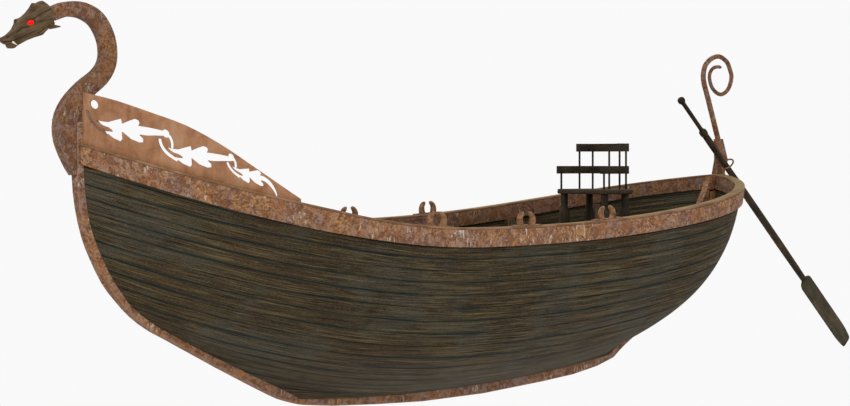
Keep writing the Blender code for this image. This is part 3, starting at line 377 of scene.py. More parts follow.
BACKBONE_EDGE = 0.012         # width of the bevel along the backbone's edges
FLAT = math.radians(0.6)      # faces that meet at less than this are one flat


def worked(node, edge, segments=2, sharp=32.0):
    """A copy of a CAD piece with its flats joined and its sharp edges eased.

    The corners of the eased edges are marked for the finishes. Most show them rubbed paler;
    the rusty crust makes them paler partly as a painted highlight, and the washboard wood makes
    them darker as painted shade.
    """
    shape = bmesh.new()
    shape.from_mesh(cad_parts[node].data)
    bmesh.ops.remove_doubles(shape, verts=shape.verts, dist=MERGE)
    bmesh.ops.dissolve_limit(shape, angle_limit=FLAT, verts=shape.verts, edges=shape.edges)
    edges = [e for e in shape.edges
             if len(e.link_faces) == 2 and e.calc_face_angle() > math.radians(sharp)]
    wear = shape.loops.layers.float.new("wear")
    eased = bmesh.ops.bevel(shape, geom=edges, offset=edge, offset_type="OFFSET",
                            affect="EDGES", segments=segments, profile=0.5, material=-1,
                            clamp_overlap=True)
    for face in eased["faces"]:
        for corner in face.loops:
            corner[wear] = 1.0
    bmesh.ops.dissolve_degenerate(shape, edges=shape.edges, dist=MERGE)
    bmesh.ops.recalc_face_normals(shape, faces=shape.faces)
    return shape


def rusty_crust(name, seed=0.0, dark=0.0):
    """A weathered copper-brown crust: mauve and brown clouds, orange blooms, pale streaks."""
    finish = Finish(name)
    where = finish.node("Mapping", sockets={"Vector": finish.node("TexCoord", out="Object"),
                                            "Location": (seed, seed * 0.7, seed * 1.3)})
    cloud = finish.noise(where, 4.2, 4.0, 0.60, 0.5)
    patch = finish.noise(where, 14.0, 5.0, 0.66, 0.8)
    spots = finish.noise(where, 46.0, 3.0, 0.60, 0.6)
    grit = finish.noise(where, 120.0, 3.0, 0.65)
    tone = finish.mix(finish.between(cloud, 0.42, 0.58), colour(166, 126, 96),
                      colour(156, 126, 112))
    tone = finish.mix(finish.between(patch, 0.44, 0.56), colour(124, 84, 60), tone)
    bloom = finish.noise(where, 6.5, 5.0, 0.70, 1.0)
    tone = finish.mix(finish.between(bloom, 0.52, 0.60) * 0.60, tone, colour(160, 104, 58))
    tone = finish.mix(finish.between(bloom, 0.46, 0.38) * 0.45, tone, colour(112, 80, 66))
    crowd = finish.between(finish.noise(where, 3.6, 2.0, 0.5), 0.50, 0.58)
    spotted = finish.between(spots, 0.56, 0.61) * crowd
    tone = finish.mix(spotted * 0.85, tone, colour(210, 142, 52))
    pits = finish.between(spots, 0.43, 0.37)
    tone = finish.mix(pits * 0.50, tone, colour(74, 48, 34))
    tall = finish.node("Mapping", sockets={"Vector": where, "Scale": (44.0, 44.0, 13.0)})
    fleck = finish.noise(tall, 1.0, 3.0, 0.62, 0.8)
    lost = finish.between(finish.noise(where, 4.8, 2.0, 0.5), 0.50, 0.58)
    flecked = finish.between(fleck, 0.58, 0.64) * lost
    tone = finish.mix(flecked * 0.80, tone, colour(218, 204, 182))
    tone = finish.mix(finish.between(fleck, 0.46, 0.38) * 0.30, tone, colour(112, 76, 56))
    tone = finish.mix(finish.between(grit, 0.54, 0.66) * 0.30, tone, colour(190, 156, 130))
    tone = finish.mix(finish.between(grit, 0.46, 0.36) * 0.35, tone, colour(88, 58, 42))
    # The eased edges are paler: partly rubbed wear and partly a painted highlight.
    tone = finish.mix(finish.attribute("wear") * (0.20 + grit * 0.30), tone,
                      colour(178, 132, 106))
    # dark darkens the whole crust evenly; on the inner band this is painted shade.
    if dark:
        tone = finish.mix(dark, tone, colour(48, 32, 22))
    height = patch * 0.5 + spots * 0.35 + grit * 0.35 - pits * 0.3 + flecked * 0.3
    return finish.done(tone, 0.60 + grit * 0.30, height, 0.007)


BACKBONE_CRUST = rusty_crust("backbone_crust", 3.0, 0.10)
for node in ("stem", "keel", "sternpost", "stern_knee"):
    piece(f"{node}_balk", worked(node, BACKBONE_EDGE, 3), BACKBONE_CRUST, "hull", [node])


# Gunwale: a rusty band bent along each face of the top plank, and a cap nailed over all three,
# olive gold on top and rusty at its sides. Each pair meets on the centreline at the stern.

BAND_HEIGHT = 0.150           # height of a band
BAND_OUT = 0.036              # how far the outer band stands out of the planks
BAND_IN = 0.030               # how far the inner band stands in from them
CAP = 0.020                   # thickness of the cap
GAP = 0.0003                  # gap between pieces that touch
RAIL_STATIONS = 120           # steps along the gunwale
STERN_SLOPE = 0.021           # how far forward the bands' lower edges end at the sternpost
BOW_END = -2.5                # ahead of this x the gunwale is cut off at the backbone
BAND_ROUND = 0.007            # radius of the bands' edges
CAP_ROUND = 0.006             # and of the cap's


def rounded(corners, radius, steps=3):
    """An outline of (a, b) corners with each corner turned to an arc."""
    outline = []
    for number, corner in enumerate(corners):
        here = Vector(corner)
        back = (Vector(corners[number - 1]) - here).normalized() * radius
        ahead = (Vector(corners[(number + 1) % len(corners)]) - here).normalized() * radius
        for step in range(steps + 1):
            turn = math.pi / 2 * step / steps
            outline.append(here + back * (1 - math.sin(turn)) + ahead * (1 - math.cos(turn)))
    return outline


def rail(side, outline):
    """A strip swept along the gunwale, from its section's depths and heights at the sheer."""
    lines = []
    for depth, height in outline:
        line = []
        for i in range(RAIL_STATIONS + 1):
            share = station(i, RAIL_STATIONS)
            high, low = edge_point(SHEER, share), edge_point(SHEER - 1, share)
            down = min(max(-height / (high.z - low.z), 0.0), 1.0)
            point = (high - hull_normal(SHEER, share) * depth).lerp(
                low - hull_normal(SHEER - 1, share) * depth, down)
            point.z += max(height, 0.0)
            line.append(Vector((point.x, side * point.y, point.z)))
        line.append(Vector((edge_point(SHEER, 1.0).x - depth, side * GAP / 2, line[-1].z)))
        if height < -BAND_HEIGHT / 2:
            line[-1].x -= STERN_SLOPE
        lines.append(line)
    shape = grid_body(lines, [0.0] * len(lines))
    bow = [face for face in shape.faces if face.calc_center_median().x < BOW_END]
    geom = list({item for face in bow for item in (face, *face.edges, *face.verts)})
    bmesh.ops.bisect_plane(shape, geom=geom, dist=0.00001, clear_inner=True,
                           plane_co=(0, side * BACKBONE_HALF, 0), plane_no=(0, side, 0))
    bmesh.ops.holes_fill(shape, edges=[e for e in shape.edges if e.is_boundary], sides=0)
    bmesh.ops.recalc_face_normals(shape, faces=shape.faces)
    return shape


def cap_wood(name):
    """The cap's worn olive-gold wood, with grain along it, and rust on its upright sides."""
    finish = Finish(name)
    grain = finish.noise(finish.place((1.5, 30.0, 30.0)), 1.2, 5.0, 0.6)
    cloud = finish.noise(finish.place(), 4.0, 4.0, 0.6)
    tone = finish.ramp(grain * 0.6 + cloud * 0.4,
                       (0.34, colour(96, 74, 44)), (0.48, colour(134, 108, 66)),
                       (0.62, colour(160, 132, 84)))
    upward = finish.node("SeparateXYZ", sockets={0: finish.node("NewGeometry", out="Normal")},
                         out=2)
    side_tone = finish.mix(finish.between(cloud, 0.44, 0.56), colour(122, 88, 62),
                           colour(150, 112, 88))
    tone = finish.mix(finish.between(upward, 0.80, 0.45), tone, side_tone)
    return finish.done(tone, 0.62 + grain * 0.2, grain, 0.003)


BAND_CRUST = rusty_crust("band_crust", 0.0)
# The inner band's crust is made darker all over: painted shade inside the gunwale.
INNER_CRUST_PAINTED_SHADE = rusty_crust("inner_band_crust_painted_shade", 7.0, 0.42)
CAP_WOOD = cap_wood("cap_wood")
for side, side_name in SIDES:
    inner = PLANK + BAND_IN
    for name, node, finish, round_by, corners in (
            ("outer_band", "band_outer", BAND_CRUST, BAND_ROUND,
             ((-BAND_OUT, -BAND_HEIGHT), (-BAND_OUT, -GAP), (-GAP, -GAP), (-GAP, -BAND_HEIGHT))),
            ("inner_band", "band_inner", INNER_CRUST_PAINTED_SHADE, BAND_ROUND,
             ((PLANK + GAP, -BAND_HEIGHT), (PLANK + GAP, -GAP), (inner, -GAP),
              (inner, -BAND_HEIGHT))),
            ("cap", "rail_cap", CAP_WOOD, CAP_ROUND,
             ((-BAND_OUT, GAP), (-BAND_OUT, CAP), (inner, CAP), (inner, GAP)))):
        piece(f"{name}_{side_name}", rail(side, rounded(corners, round_by)), finish, "hull",
              [f"{node}_{side_name}"])


# Inside: seven sawn frames on the backbone, stringers on their inner faces, seats across the
# stringers, floorboards on bearers and the stern deck on beams. All are bare brown oak.

FRAME_EDGE = 0.006            # bevels of the frames and stringers, the seats and the boards
SEAT_EDGE = 0.008
BOARD_EDGE = 0.003


def bare_oak(name, grain_along, dark=0.0):
    """Bare brown oak, walked and sat on, with its grain along one axis of the boat."""
    finish = Finish(name)
    stretch = [26.0, 26.0, 26.0]
    stretch["XYZ".index(grain_along)] = 1.6
    grain = finish.noise(finish.place(tuple(stretch)), 1.0, 6.0, 0.62, 0.25)
    fine = finish.noise(finish.place(tuple(s * 3.2 for s in stretch)), 1.0, 3.0, 0.6)
    cloud = finish.noise(finish.place(), 2.4, 4.0, 0.6)
    tone = finish.ramp(grain * 0.6 + cloud * 0.4,
                       (0.34, colour(54, 42, 30)), (0.46, colour(84, 68, 48)),
                       (0.56, colour(108, 89, 64)), (0.68, colour(132, 112, 84)))
    tone = finish.mix(finish.between(fine, 0.46, 0.30) * 0.55, tone, colour(36, 28, 20))
    tone = finish.mix(finish.attribute("wear") * 0.45, tone, colour(142, 120, 88))
    if dark:
        tone = finish.mix(dark, tone, colour(26, 20, 14))
    return finish.done(tone, 0.60 + fine * 0.25, grain * 0.6 + fine * 0.4, 0.004)


FRAME_OAK = bare_oak("frame_oak", "Z", 0.15)
LONG_OAK = bare_oak("long_oak", "X")
CROSS_OAK = bare_oak("cross_oak", "Y")
for number in range(1, 8):
    piece(f"frame_{number}_sawn", worked(f"frame_{number}", FRAME_EDGE), FRAME_OAK, "hull",
          [f"frame_{number}"])
for _, side_name in SIDES:
    piece(f"stringer_{side_name}_eased", worked(f"stringer_{side_name}", FRAME_EDGE), LONG_OAK,
          "hull", [f"stringer_{side_name}"])
for number in range(1, 4):
    piece(f"rowing_seat_{number}", worked(f"thwart_{number}", SEAT_EDGE, 3), CROSS_OAK, "hull",
          [f"thwart_{number}"])
piece("floor_boards", worked("floorboards", BOARD_EDGE), LONG_OAK, "hull", ["floorboards"])
piece("deck_boards", worked("stern_deck", BOARD_EDGE), LONG_OAK, "hull", ["stern_deck"])


# Steersman's seat: a thick plank on four turned legs, with two bent rails on iron-thin
# spindles round its back and sides. It is stained almost black, paler where it is handled.

HOOP_EDGE = 0.005             # bevels of the two bent rails and of the plank
CHAIR_SEAT_EDGE = 0.002
LATHE_STEPS = 40              # steps round a turned leg


def dark_stain(name, grain_along, pale=0.0):
    """Blackish brown stain worn thin along the grain and on the edges."""
    finish = Finish(name)
    stretch = [34.0, 34.0, 34.0]
    stretch["XYZ".index(grain_along)] = 3.0
    grain = finish.noise(finish.place(tuple(stretch)), 1.0, 5.0, 0.62, 0.3)
    cloud = finish.noise(finish.place(), 6.0, 4.0, 0.6)
    tone = finish.ramp(grain * 0.65 + cloud * 0.35,
                       (0.35, colour(28, 23, 16)), (0.48, colour(46, 38, 26)),
                       (0.60, colour(66, 55, 39)), (0.72, colour(92, 78, 56)))
    tone = finish.mix(finish.attribute("wear") * 0.40, tone, colour(104, 88, 64))
    if pale:
        tone = finish.mix(pale, tone, colour(124, 104, 76))
    return finish.done(tone, 0.50 + grain * 0.30, grain, 0.003)


CHAIR_STAIN = dark_stain("chair_stain", "Y")
LEG_STAIN = dark_stain("leg_stain", "Z")
piece("chair_plank", worked("chair_seat", CHAIR_SEAT_EDGE, sharp=60.0),
      dark_stain("seat_stain", "Y", 0.12), "hull", ["chair_seat"])
for tier in ("lower", "upper"):
    piece(f"chair_{tier}_hoop", worked(f"chair_{tier}_rail", HOOP_EDGE), CHAIR_STAIN, "hull",
          [f"chair_{tier}_rail"])


def turned(profile, steps):
    """A piece turned on a lathe: pairs of radius and height, spun about the upright axis."""
    shape = bmesh.new()
    corners = [shape.verts.new((radius, 0.0, height)) for radius, height in profile]
    line = [shape.edges.new(pair) for pair in zip(corners, corners[1:])]
    bmesh.ops.spin(shape, geom=corners + line, cent=(0, 0, 0), axis=(0, 0, 1), steps=steps,
                   angle=2 * math.pi, use_merge=True)
    bmesh.ops.remove_doubles(shape, verts=shape.verts, dist=MERGE)
    bmesh.ops.holes_fill(shape, edges=shape.edges, sides=0)
    bmesh.ops.recalc_face_normals(shape, faces=shape.faces)
    return shape


for end in ("front", "back"):
    for _, side_name in SIDES:
        node = f"chair_leg_{end}_{side_name}"
        low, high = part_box(node)
        tall, thick = high.z - low.z, (high.x - low.x) / 2
        leg = turned(((0.0, 0.0), (thick - 0.004, 0.0), (thick - 0.001, 0.006),
                      (thick - 0.001, 0.55 * tall), (thick * 0.90, 0.60 * tall),
                      (thick * 0.68, 0.67 * tall), (thick * 0.64, 0.72 * tall),
                      (thick * 0.64, tall), (0.0, tall)), LATHE_STEPS)
        bmesh.ops.translate(leg, verts=leg.verts, vec=((low.x + high.x) / 2,
                                                       (low.y + high.y) / 2, low.z))
        piece(f"chair_{end}_post_{side_name}", leg, LEG_STAIN, "hull", [node])


# Rowlocks: six cast plates let into the cap, each with two horns that close over the oar.
# They are bronze gone dull and mottled brown.

def dull_bronze(name):
    """Cast bronze gone a dull mottled brown, brighter where its edges are worn."""
    finish = Finish(name)
    cloud = finish.noise(finish.place(), 24.0, 4.0, 0.6)
    grit = finish.noise(finish.place(), 110.0, 3.0, 0.6)
    tone = finish.ramp(cloud, (0.32, colour(78, 54, 36)), (0.50, colour(136, 98, 68)),
                       (0.68, colour(168, 126, 92)))
    tone = finish.mix(finish.attribute("wear") * 0.55, tone, colour(192, 146, 106))
    metal = finish.between(cloud, 0.40, 0.60) * 0.35
    return finish.done(tone, 0.46 + grit * 0.25, cloud * 0.4 + grit * 0.6, 0.0015, metal)


PLATE = (0.330, 0.080, 0.012) # length, width and height of a rowlock's plate
PLATE_EDGE = 0.004
ROWLOCK_PLACES = (-1.23, -0.19, 0.82)   # x of the three on each side
# Middle line of a horn from its root. Columns: distance from the oar, height, radius
HORN = ((0.067, 0.000, 0.035), (0.075, 0.026, 0.034), (0.077, 0.056, 0.032),
        (0.069, 0.084, 0.028), (0.050, 0.104, 0.023), (0.035, 0.111, 0.016),
        (0.028, 0.112, 0.009), (0.025, 0.112, 0.001))
HORN_FLAT = 0.80              # a horn's thickness as a share of its width


def smooth(points, steps):
    """Points on a smooth curve through the given ones, which may have any columns."""
    line = []
    for i in range(len(points) - 1):
        four = [points[min(max(i + d, 0), len(points) - 1)] for d in (-1, 0, 1, 2)]
        for k in range(steps):
            t = k / steps
            line.append(tuple(
                0.5 * (2 * b + (c - a) * t + (2 * a - 5 * b + 4 * c - d) * t * t
                       + (3 * b - a - 3 * c + d) * t ** 3) for a, b, c, d in zip(*four)))
    return line + [tuple(points[-1])]


def rod(points, rounds=4):
    """A round rod along points of x, y, z and radius."""
    path = bpy.data.curves.new("rod", "CURVE")
    path.dimensions = "3D"
    path.bevel_depth = 1.0
    path.bevel_resolution = rounds
    path.use_fill_caps = True
    line = path.splines.new("POLY")
    line.points.add(len(points) - 1)
    for spot, (x, y, z, radius) in zip(line.points, points):
        spot.co = (x, y, z, 1.0)
        spot.radius = radius
    holder = bpy.data.objects.new("rod", path)
    bpy.context.scene.collection.objects.link(holder)
    bpy.context.view_layer.update()
    shape = bmesh.new()
    seen = holder.evaluated_get(bpy.context.evaluated_depsgraph_get())
    shape.from_mesh(seen.to_mesh())
    seen.to_mesh_clear()
    bpy.data.objects.remove(holder)
    bmesh.ops.remove_doubles(shape, verts=shape.verts, dist=MERGE)
    bmesh.ops.recalc_face_normals(shape, faces=shape.faces)
    return shape


def joined(shape, other):
    """Add another bmesh to this one."""
    mesh = bpy.data.meshes.new("joined")
    other.to_mesh(mesh)
    other.free()
    shape.from_mesh(mesh)
    bpy.data.meshes.remove(mesh)
    return shape


def on_cap(side, x):
    """The cap's middle at x, and its direction towards the stern."""
    share = (x - PLANK_EDGES[-1][0]) / (PLANK_EDGES[-1][2] - PLANK_EDGES[-1][0])
    middle = (PLANK + BAND_IN - BAND_OUT) / 2
    spots = [edge_point(SHEER, place) - hull_normal(SHEER, place) * middle
             for place in (share, share + 0.01)]
    here, there = (Vector((spot.x, side * spot.y, spot.z + CAP)) for spot in spots)
    return here, (there - here).normalized()


BRONZE = dull_bronze("rowlock_bronze")
for side, side_name in SIDES:
    for number, x in enumerate(ROWLOCK_PLACES, 1):
        node = f"rowlock_{side_name}_{number}"
        shape = bmesh.new()
        bmesh.ops.create_cube(shape, size=1.0)
        bmesh.ops.scale(shape, verts=shape.verts, vec=PLATE)
        bmesh.ops.translate(shape, verts=shape.verts, vec=(0, 0, PLATE[2] / 3))
        bmesh.ops.bevel(shape, geom=shape.edges, offset=PLATE_EDGE, affect="EDGES", segments=2,
                        profile=0.5, material=-1)
        for way in (-1, 1):
            horn = rod([(way * a, 0.0, z, radius) for a, z, radius in smooth(HORN, 4)])
            bmesh.ops.scale(horn, verts=horn.verts, vec=(1.0, HORN_FLAT, 1.0))
            shape = joined(shape, horn)
        place, along = on_cap(side, x)
        shape.transform(Matrix.Translation(place)
                        @ Matrix.Rotation(math.atan2(along.y, along.x), 4, "Z")
                        @ Matrix.Rotation(-math.asin(along.z), 4, "Y"))
        piece(f"{node}_cast", shape, BRONZE, "hull", [node])


# Washboards: a bent board on each side of the bow, sawn through with a running leaf pattern.
# The wood is smooth copper brown, and painted shade darkens its eased sawn edges.

def copper_wood(name):
    """Smooth copper-brown wood with a faint upright figure, and painted shade on its eased sawn
    edges.
    """
    finish = Finish(name)
    figure = finish.noise(finish.place((14.0, 14.0, 3.0)), 1.0, 5.0, 0.6, 0.3)
    cloud = finish.noise(finish.place(), 4.5, 4.0, 0.62, 0.5)
    fine = finish.noise(finish.place(), 60.0, 3.0, 0.6)
    tone = finish.ramp(cloud * 0.6 + figure * 0.4,
                       (0.34, colour(128, 84, 58)), (0.47, colour(156, 110, 78)),
                       (0.56, colour(168, 122, 90)), (0.68, colour(174, 136, 108)))
    tone = finish.mix(finish.between(fine, 0.62, 0.70) * 0.35, tone, colour(96, 62, 44))
    # Painted shade: the eased sawn edges are darkened.
    tone = finish.mix(finish.attribute("wear") * 0.35, tone, colour(122, 84, 62))
    return finish.done(tone, 0.52 + fine * 0.20, figure * 0.5 + fine * 0.5, 0.002)


WASHBOARD_EDGE = 0.0025
COPPER_WOOD = copper_wood("washboard_wood")
for _, side_name in SIDES:
    node = f"washboard_{side_name}"
    piece(f"{node}_pierced", worked(node, WASHBOARD_EDGE), COPPER_WOOD, "hull", [node])


# Dragon's neck: one balk bent like an S, whose lower half stands against the front of the
# stem. It has the backbone's rusty crust, darker, and its eased edges are paler, partly rubbed
# and partly a painted highlight.

NECK_EDGE = 0.0095
piece("neck_balk", worked("dragon_neck", NECK_EDGE, 3), rusty_crust("neck_crust", 11.0, 0.30),
      "hull", ["dragon_neck"])


# Dragon's head: carved from one block of olive-brown wood, with a separate jaw, two white
# fangs and two glazed red eyes set under the brows. The eyes have a faint painted glow, and
# painted shade darkens the carved grooves.

HEAD_ORIGIN = Vector((-4.215, 0.0, 2.895))   # where the head meets the neck
HEAD_ANGLE = math.radians(25.85)             # how far its snout dips
HEAD_PLACE = (Matrix.Translation(HEAD_ORIGIN) @ Matrix.Rotation(math.pi, 4, "Z")
              @ Matrix.Rotation(HEAD_ANGLE, 4, "Y"))
MIDDLE = 0.012                # grooves keep this far off the head's middle
SIDEWAYS = 0.25               # and off points whose normals look sideways less than this
# Grooves on each side of the head: points along the snout and up, then width and depth.
GROOVES = (
    (((0.190, 0.033), (0.103, 0.048), (0.010, 0.043)), 0.006, 0.006),
    (((0.260, -0.004), (0.300, 0.010), (0.360, -0.004)), 0.006, 0.004),
    (((0.440, -0.004), (0.452, -0.008)), 0.008, 0.008),
    (((0.500, -0.030), (0.440, -0.052), (0.300, -0.060), (0.200, -0.062)), 0.005, 0.005),
    (((0.160, -0.010), (0.110, -0.020), (0.040, -0.030)), 0.006, 0.004),
    (((0.195, 0.010), (0.190, 0.030), (0.215, 0.042), (0.250, 0.036)), 0.006, 0.004),
)


def near_line(point, line):
    """How far a point of the head's side lies from a line of points."""
    best = 1.0
    for one, two in zip(line, line[1:]):
        one, two = Vector(one), Vector(two)
        along = two - one
        share = min(max((point - one).dot(along) / along.length_squared, 0.0), 1.0)
        best = min(best, (point - one - along * share).length)
    return best


def refined(node, cuts, rounds, factor, place=None):
    """A fine, smoothed copy of a CAD piece, in its own axes if its place is given."""
    shape = bmesh.new()
    shape.from_mesh(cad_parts[node].data)
    bmesh.ops.remove_doubles(shape, verts=shape.verts, dist=MERGE)
    if place:
        shape.transform(place.inverted())
    bmesh.ops.subdivide_edges(shape, edges=shape.edges, cuts=cuts, use_grid_fill=True)
    if place:
        bmesh.ops.triangulate(shape, faces=shape.faces)
    for _ in range(rounds):
        bmesh.ops.smooth_vert(shape, verts=shape.verts, factor=factor, use_axis_x=True,
                              use_axis_y=True, use_axis_z=True)
    return shape


def carved(node):
    """A fine copy of a CAD piece of the head, smoothed and cut with the grooves."""
    shape = refined(node, 4, 2, 0.5, HEAD_PLACE)
    shape.normal_update()
    depth = shape.verts.layers.float.new("groove")
    for vert in shape.verts:
        if abs(vert.co.y) < MIDDLE or abs(vert.normal.y) < SIDEWAYS:
            continue
        side_place = Vector((vert.co.x, vert.co.z))
        for line, width, deep in GROOVES:
            share = math.exp(-(near_line(side_place, line) / width) ** 2)
            vert.co -= vert.normal * deep * share
            # The groove share is kept, for the finish to paint shade in the grooves.
            vert[depth] = max(vert[depth], share)
    shape.transform(HEAD_PLACE)
    return shape


def carved_wood(name):
    """Olive-brown carved wood, with painted shade in the grooves and grain along the snout."""
    finish = Finish(name)
    turn = (0.0, HEAD_ANGLE, 0.0)
    grain = finish.noise(finish.place((5.0, 42.0, 42.0), turn), 1.0, 5.0, 0.62, 0.4)
    fine = finish.noise(finish.place((20.0, 130.0, 130.0), turn), 1.0, 3.0, 0.6)
    cloud = finish.noise(finish.place(), 9.0, 4.0, 0.6)
    tone = finish.ramp(grain * 0.6 + cloud * 0.4,
                       (0.34, colour(58, 44, 28)), (0.46, colour(86, 68, 46)),
                       (0.56, colour(106, 86, 60)), (0.68, colour(130, 110, 80)))
    tone = finish.mix(finish.between(fine, 0.45, 0.30) * 0.5, tone, colour(40, 30, 20))
    # Painted shade darkens the carved grooves.
    tone = finish.mix(finish.attribute("groove") * 0.85, tone, colour(26, 18, 14))
    return finish.done(tone, 0.58 + fine * 0.2, grain * 0.6 + fine * 0.4, 0.003)


def glazed(name, tone, vein, rough):
    """A glazed or bone surface, faintly veined."""
    finish = Finish(name)
    cloud = finish.noise(finish.place(), 60.0, 3.0, 0.6)
    return finish.done(finish.mix(finish.between(cloud, 0.50, 0.72) * 0.5, tone, vein), rough,
                       cloud, 0.0004)


HEAD_WOOD = carved_wood("head_wood")
EYE_RED_PAINTED_GLOW = glazed("eye_red_painted_glow", colour(255, 8, 6), colour(196, 0, 0), 0.25)
FANG_WHITE = glazed("fang_white", colour(232, 226, 210), colour(190, 176, 150), 0.35)
# The eyes are given a faint red painted glow, though they are no lamp.
glow = EYE_RED_PAINTED_GLOW.node_tree.nodes["Principled BSDF"].inputs
glow["Emission Color"].default_value = colour(255, 0, 0)
glow["Emission Strength"].default_value = 0.35
for part in ("head", "jaw"):
    piece(f"{part}_carving", carved(f"dragon_{part}"), HEAD_WOOD, "hull", [f"dragon_{part}"],
          sharp=60.0)
for _, side_name in SIDES:
    for kind, finish, cuts in (("dragon_fang", FANG_WHITE, 3), ("dragon_eye", EYE_RED_PAINTED_GLOW, 2)):
        node = f"{kind}_{side_name}"
        piece(f"{node}_set", refined(node, cuts, 1, 0.4), finish, "hull", [node], sharp=60.0)


# Stern scroll: a curled rod on a short post that stands on the cap, both with the rusty crust
# of the backbone, but darker. The post narrows towards its top.

SCROLL_CRUST = rusty_crust("scroll_crust", 17.0, 0.30)
# Outer edge of the curled rod, upwards and round. Columns: x, z, thickness
CURL = (
    (3.745, 1.930, 0.052), (3.659, 2.164, 0.052), (3.590, 2.353, 0.051),
    (3.516, 2.562, 0.050), (3.534, 2.699, 0.048), (3.596, 2.775, 0.047),
    (3.675, 2.819, 0.046), (3.753, 2.839, 0.045), (3.832, 2.830, 0.044),
    (3.928, 2.775, 0.043), (3.983, 2.680, 0.042), (4.003, 2.606, 0.041),
    (3.975, 2.509, 0.040), (3.912, 2.433, 0.039), (3.808, 2.396, 0.038),
    (3.706, 2.434, 0.037), (3.643, 2.502, 0.036), (3.617, 2.591, 0.035),
    (3.635, 2.660, 0.034), (3.690, 2.709, 0.034), (3.760, 2.724, 0.033),
    (3.808, 2.719, 0.028), (3.820, 2.717, 0.004),
)
CURL_SWELL = 1.10             # how much thicker the round rod is than its flat blank
POST_RISE = (1.740, 1.943)    # heights between which the post narrows
POST_BACK = 3.79              # x behind which its points move
POST_NARROW = 0.020           # and how far the highest of them do

rows = smooth(CURL, 4)
points = []
for i, (x, z, thick) in enumerate(rows):
    back, ahead = rows[max(i - 1, 0)], rows[min(i + 1, len(rows) - 1)]
    along = Vector((ahead[0] - back[0], ahead[1] - back[1])).normalized()
    points.append((x + along.y * thick / 2, 0.0, z - along.x * thick / 2,
                   thick / 2 * CURL_SWELL))
post = worked("scroll_post", BACKBONE_EDGE, 3)
for vert in post.verts:
    rise = (vert.co.z - POST_RISE[0]) / (POST_RISE[1] - POST_RISE[0])
    if rise > 0.0 and vert.co.x > POST_BACK:
        vert.co.x -= POST_NARROW * rise
piece("scroll_foot", post, SCROLL_CRUST, "hull", ["scroll_post"])
piece("scroll_curl", rod(points, 6), SCROLL_CRUST, "hull", ["scroll_rod"])


# Steering oar: a turned grip, a round loom and a flat blade, joined end to end, through a
# bronze ring whose pin turns on the cap.

OAR_PIVOT = Vector((3.709, -0.140, 1.628))
OAR_ANGLE = math.radians(44.4)
LOOM_HEIGHT = 0.0418          # the loom's axis over the pivot, across the oar
# Where the oar's turned parts change. Columns: distance from the pivot, radius
GRIP = ((-0.998, 0.0), (-0.998, 0.012), (-0.994, 0.026), (-0.984, 0.036), (-0.966, 0.040),
        (-0.948, 0.037), (-0.934, 0.028), (-0.920, 0.0228), (-0.900, 0.0222), (-0.560, 0.0222),
        (-0.532, 0.026), (-0.522, 0.036), (-0.510, 0.042), (-0.490, 0.0425), (-0.470, 0.041),
        (-0.460, 0.036), (-0.4585, 0.0))
SHAFT = ((-0.4577, 0.0), (-0.4577, 0.0335), (-0.440, 0.0350), (-0.300, 0.0355),
         (-0.160, 0.0340), (-0.100, 0.0325), (0.120, 0.0325), (0.220, 0.0345), (0.420, 0.0385),
         (1.200, 0.0385), (1.600, 0.0350), (1.740, 0.0325), (1.7797, 0.0320), (1.7797, 0.0))
BLADE = (1.7803, 2.820)       # where the blade begins and ends
BLADE_HALF = 0.100            # its half width
SHOULDER_RUN = 0.075          # length of its round shoulders
BLADE_TAPER = (2.600, 0.027)  # where it begins to narrow, and by how much at each side
BLADE_THICK = (0.020, 0.009)  # half its thickness at the shoulders and at the tip
BLADE_ROOT = 0.032            # its half width where it meets the loom
TIP_ROUND = (0.012, 0.010)    # how long and how deep the rounding of its tip is
BLADE_FULL = 0.7              # power of its section: 1 is an ellipse, less is fuller
RING_EDGE = 0.002
OAR_STEPS = 32                # steps round the turned parts
OAR_PLACE = (Matrix.Translation(OAR_PIVOT) @ Matrix.Rotation(OAR_ANGLE, 4, "Y")
             @ Matrix.Translation((0.0, 0.0, LOOM_HEIGHT))
             @ Matrix.Rotation(math.pi / 2, 4, "Y"))


def oar_stain(name, tones):
    """The oar's dark stain, its grain running down the loom."""
    finish = Finish(name)
    where = finish.place((3.0, 50.0, 50.0), (0.0, -OAR_ANGLE, 0.0))
    grain = finish.noise(where, 1.0, 5.0, 0.62, 0.3)
    cloud = finish.noise(finish.place(), 7.0, 4.0, 0.6)
    tone = finish.ramp(grain * 0.6 + cloud * 0.4, *zip((0.34, 0.48, 0.60, 0.72), tones))
    tone = finish.mix(finish.attribute("wear") * 0.45, tone, colour(112, 96, 72))
    return finish.done(tone, 0.50 + grain * 0.3, grain, 0.003)


LOOM_STAIN = oar_stain("loom_stain", (colour(30, 22, 14), colour(50, 38, 25), colour(72, 56, 38),
                                      colour(96, 78, 54)))
BLADE_STAIN = oar_stain("blade_stain", (colour(40, 36, 24), colour(64, 56, 40),
                                        colour(84, 74, 54), colour(108, 98, 76)))
for name, profile, node in (("oar_handle", GRIP, "oar_grip"), ("oar_shaft", SHAFT, "oar_loom")):
    shape = turned([(radius, along) for along, radius in profile], OAR_STEPS)
    shape.transform(OAR_PLACE)
    piece(name, shape, LOOM_STAIN, "oar", [node])

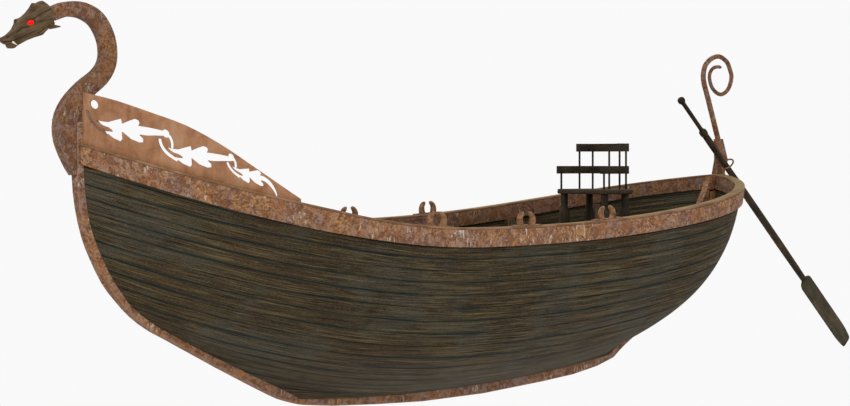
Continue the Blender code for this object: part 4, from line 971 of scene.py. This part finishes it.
stops = [BLADE[0] + SHOULDER_RUN * (1 - math.cos(math.pi / 2 * i / 8)) for i in range(9)]
stops += [blend(stops[8], BLADE[1] - TIP_ROUND[0], i / 20) for i in range(1, 21)] + [BLADE[1]]
section = [(math.cos(math.pi * j / 8), math.sin(math.pi * j / 8)) for j in range(16)]
lines = []
for across, through in section:
    line = []
    for at in stops:
        reach = min((at - BLADE[0]) / SHOULDER_RUN, 1.0)
        half = blend(BLADE_ROOT, BLADE_HALF, math.sqrt(1 - (1 - reach) ** 2))
        narrow = max(at - BLADE_TAPER[0], 0.0) / (BLADE[1] - BLADE_TAPER[0])
        half -= BLADE_TAPER[1] * narrow ** 2 + (TIP_ROUND[1] if at == BLADE[1] else 0.0)
        thick = blend(*BLADE_THICK, (at - BLADE[0]) / (BLADE[1] - BLADE[0]))
        out = math.copysign(abs(through) ** BLADE_FULL, through) if abs(through) > 0.01 else 0.0
        line.append(OAR_PLACE @ Vector((half * across, thick * out, at)))
    lines.append(line)
piece("oar_paddle", grid_body(lines, [0.0] * len(lines)), BLADE_STAIN, "oar", ["oar_blade"])
piece("oar_collar", worked("oar_ring", RING_EDGE, sharp=55.0), dull_bronze("ring_bronze"),
      "ring", ["oar_ring"])


# The water and the studio: a clear still sheet at the boat's waterline, through which the
# whole bare hull shows, a pale sky all round, a broad soft lamp off the port bow and a weaker
# one opposite.

SKY = 0.95                    # brightness of the sky that the camera sees
SKY_LIGHT = 0.78              # and of the sky's light on the boat
WATER_HALF = 60.0             # half the width of the sheet of water
VEIL = 0.005                  # how much of the light the water keeps back
water = bmesh.new()
bmesh.ops.create_grid(water, x_segments=1, y_segments=1, size=WATER_HALF)
water_mesh = bpy.data.meshes.new("water")
water.to_mesh(water_mesh)
water.free()
sheet = bpy.data.objects.new("water", water_mesh)
bpy.context.scene.collection.objects.link(sheet)
clear = Finish("clear_water")
veil = clear.node("BsdfDiffuse", sockets={"Color": (SKY, SKY, SKY, 1.0)})
mixed = clear.node("MixShader", sockets={0: VEIL, 1: clear.node("BsdfTransparent"), 2: veil})
clear.links.new(mixed.socket, clear.nodes["Material Output"].inputs["Surface"])
water_mesh.materials.append(clear.material)

sky = bpy.data.worlds.new("sky")
sky.use_nodes = True
seen = sky.node_tree.nodes["Background"]
seen.inputs["Color"].default_value = (SKY, SKY, SKY, 1.0)
cast = sky.node_tree.nodes.new("ShaderNodeBackground")
cast.inputs["Color"].default_value = (SKY_LIGHT, SKY_LIGHT, SKY_LIGHT, 1.0)
choice = sky.node_tree.nodes.new("ShaderNodeMixShader")
ray = sky.node_tree.nodes.new("ShaderNodeLightPath")
sky.node_tree.links.new(ray.outputs["Is Camera Ray"], choice.inputs[0])
sky.node_tree.links.new(cast.outputs[0], choice.inputs[1])
sky.node_tree.links.new(seen.outputs[0], choice.inputs[2])
sky.node_tree.links.new(choice.outputs[0], sky.node_tree.nodes["World Output"].inputs[0])
bpy.context.scene.world = sky

LAMPS = (                     # place, what it faces, width in metres, power in watts
    ((-9.0, -8.0, 9.0), (0.0, 0.0, 0.6), 7.0, 500.0),
    ((8.0, 7.0, 8.0), (0.0, 0.0, 0.6), 7.0, 200.0),
)
for number, (place, target, width, power) in enumerate(LAMPS, 1):
    light = bpy.data.lights.new(f"lamp_{number}", "AREA")
    light.size = width
    light.energy = power
    lamp = bpy.data.objects.new(f"lamp_{number}", light)
    lamp.location = place
    lamp.rotation_euler = (Vector(target) - Vector(place)).to_track_quat("-Z", "Y").to_euler()
    bpy.context.scene.collection.objects.link(lamp)

bpy.context.scene.view_settings.view_transform = "Standard"
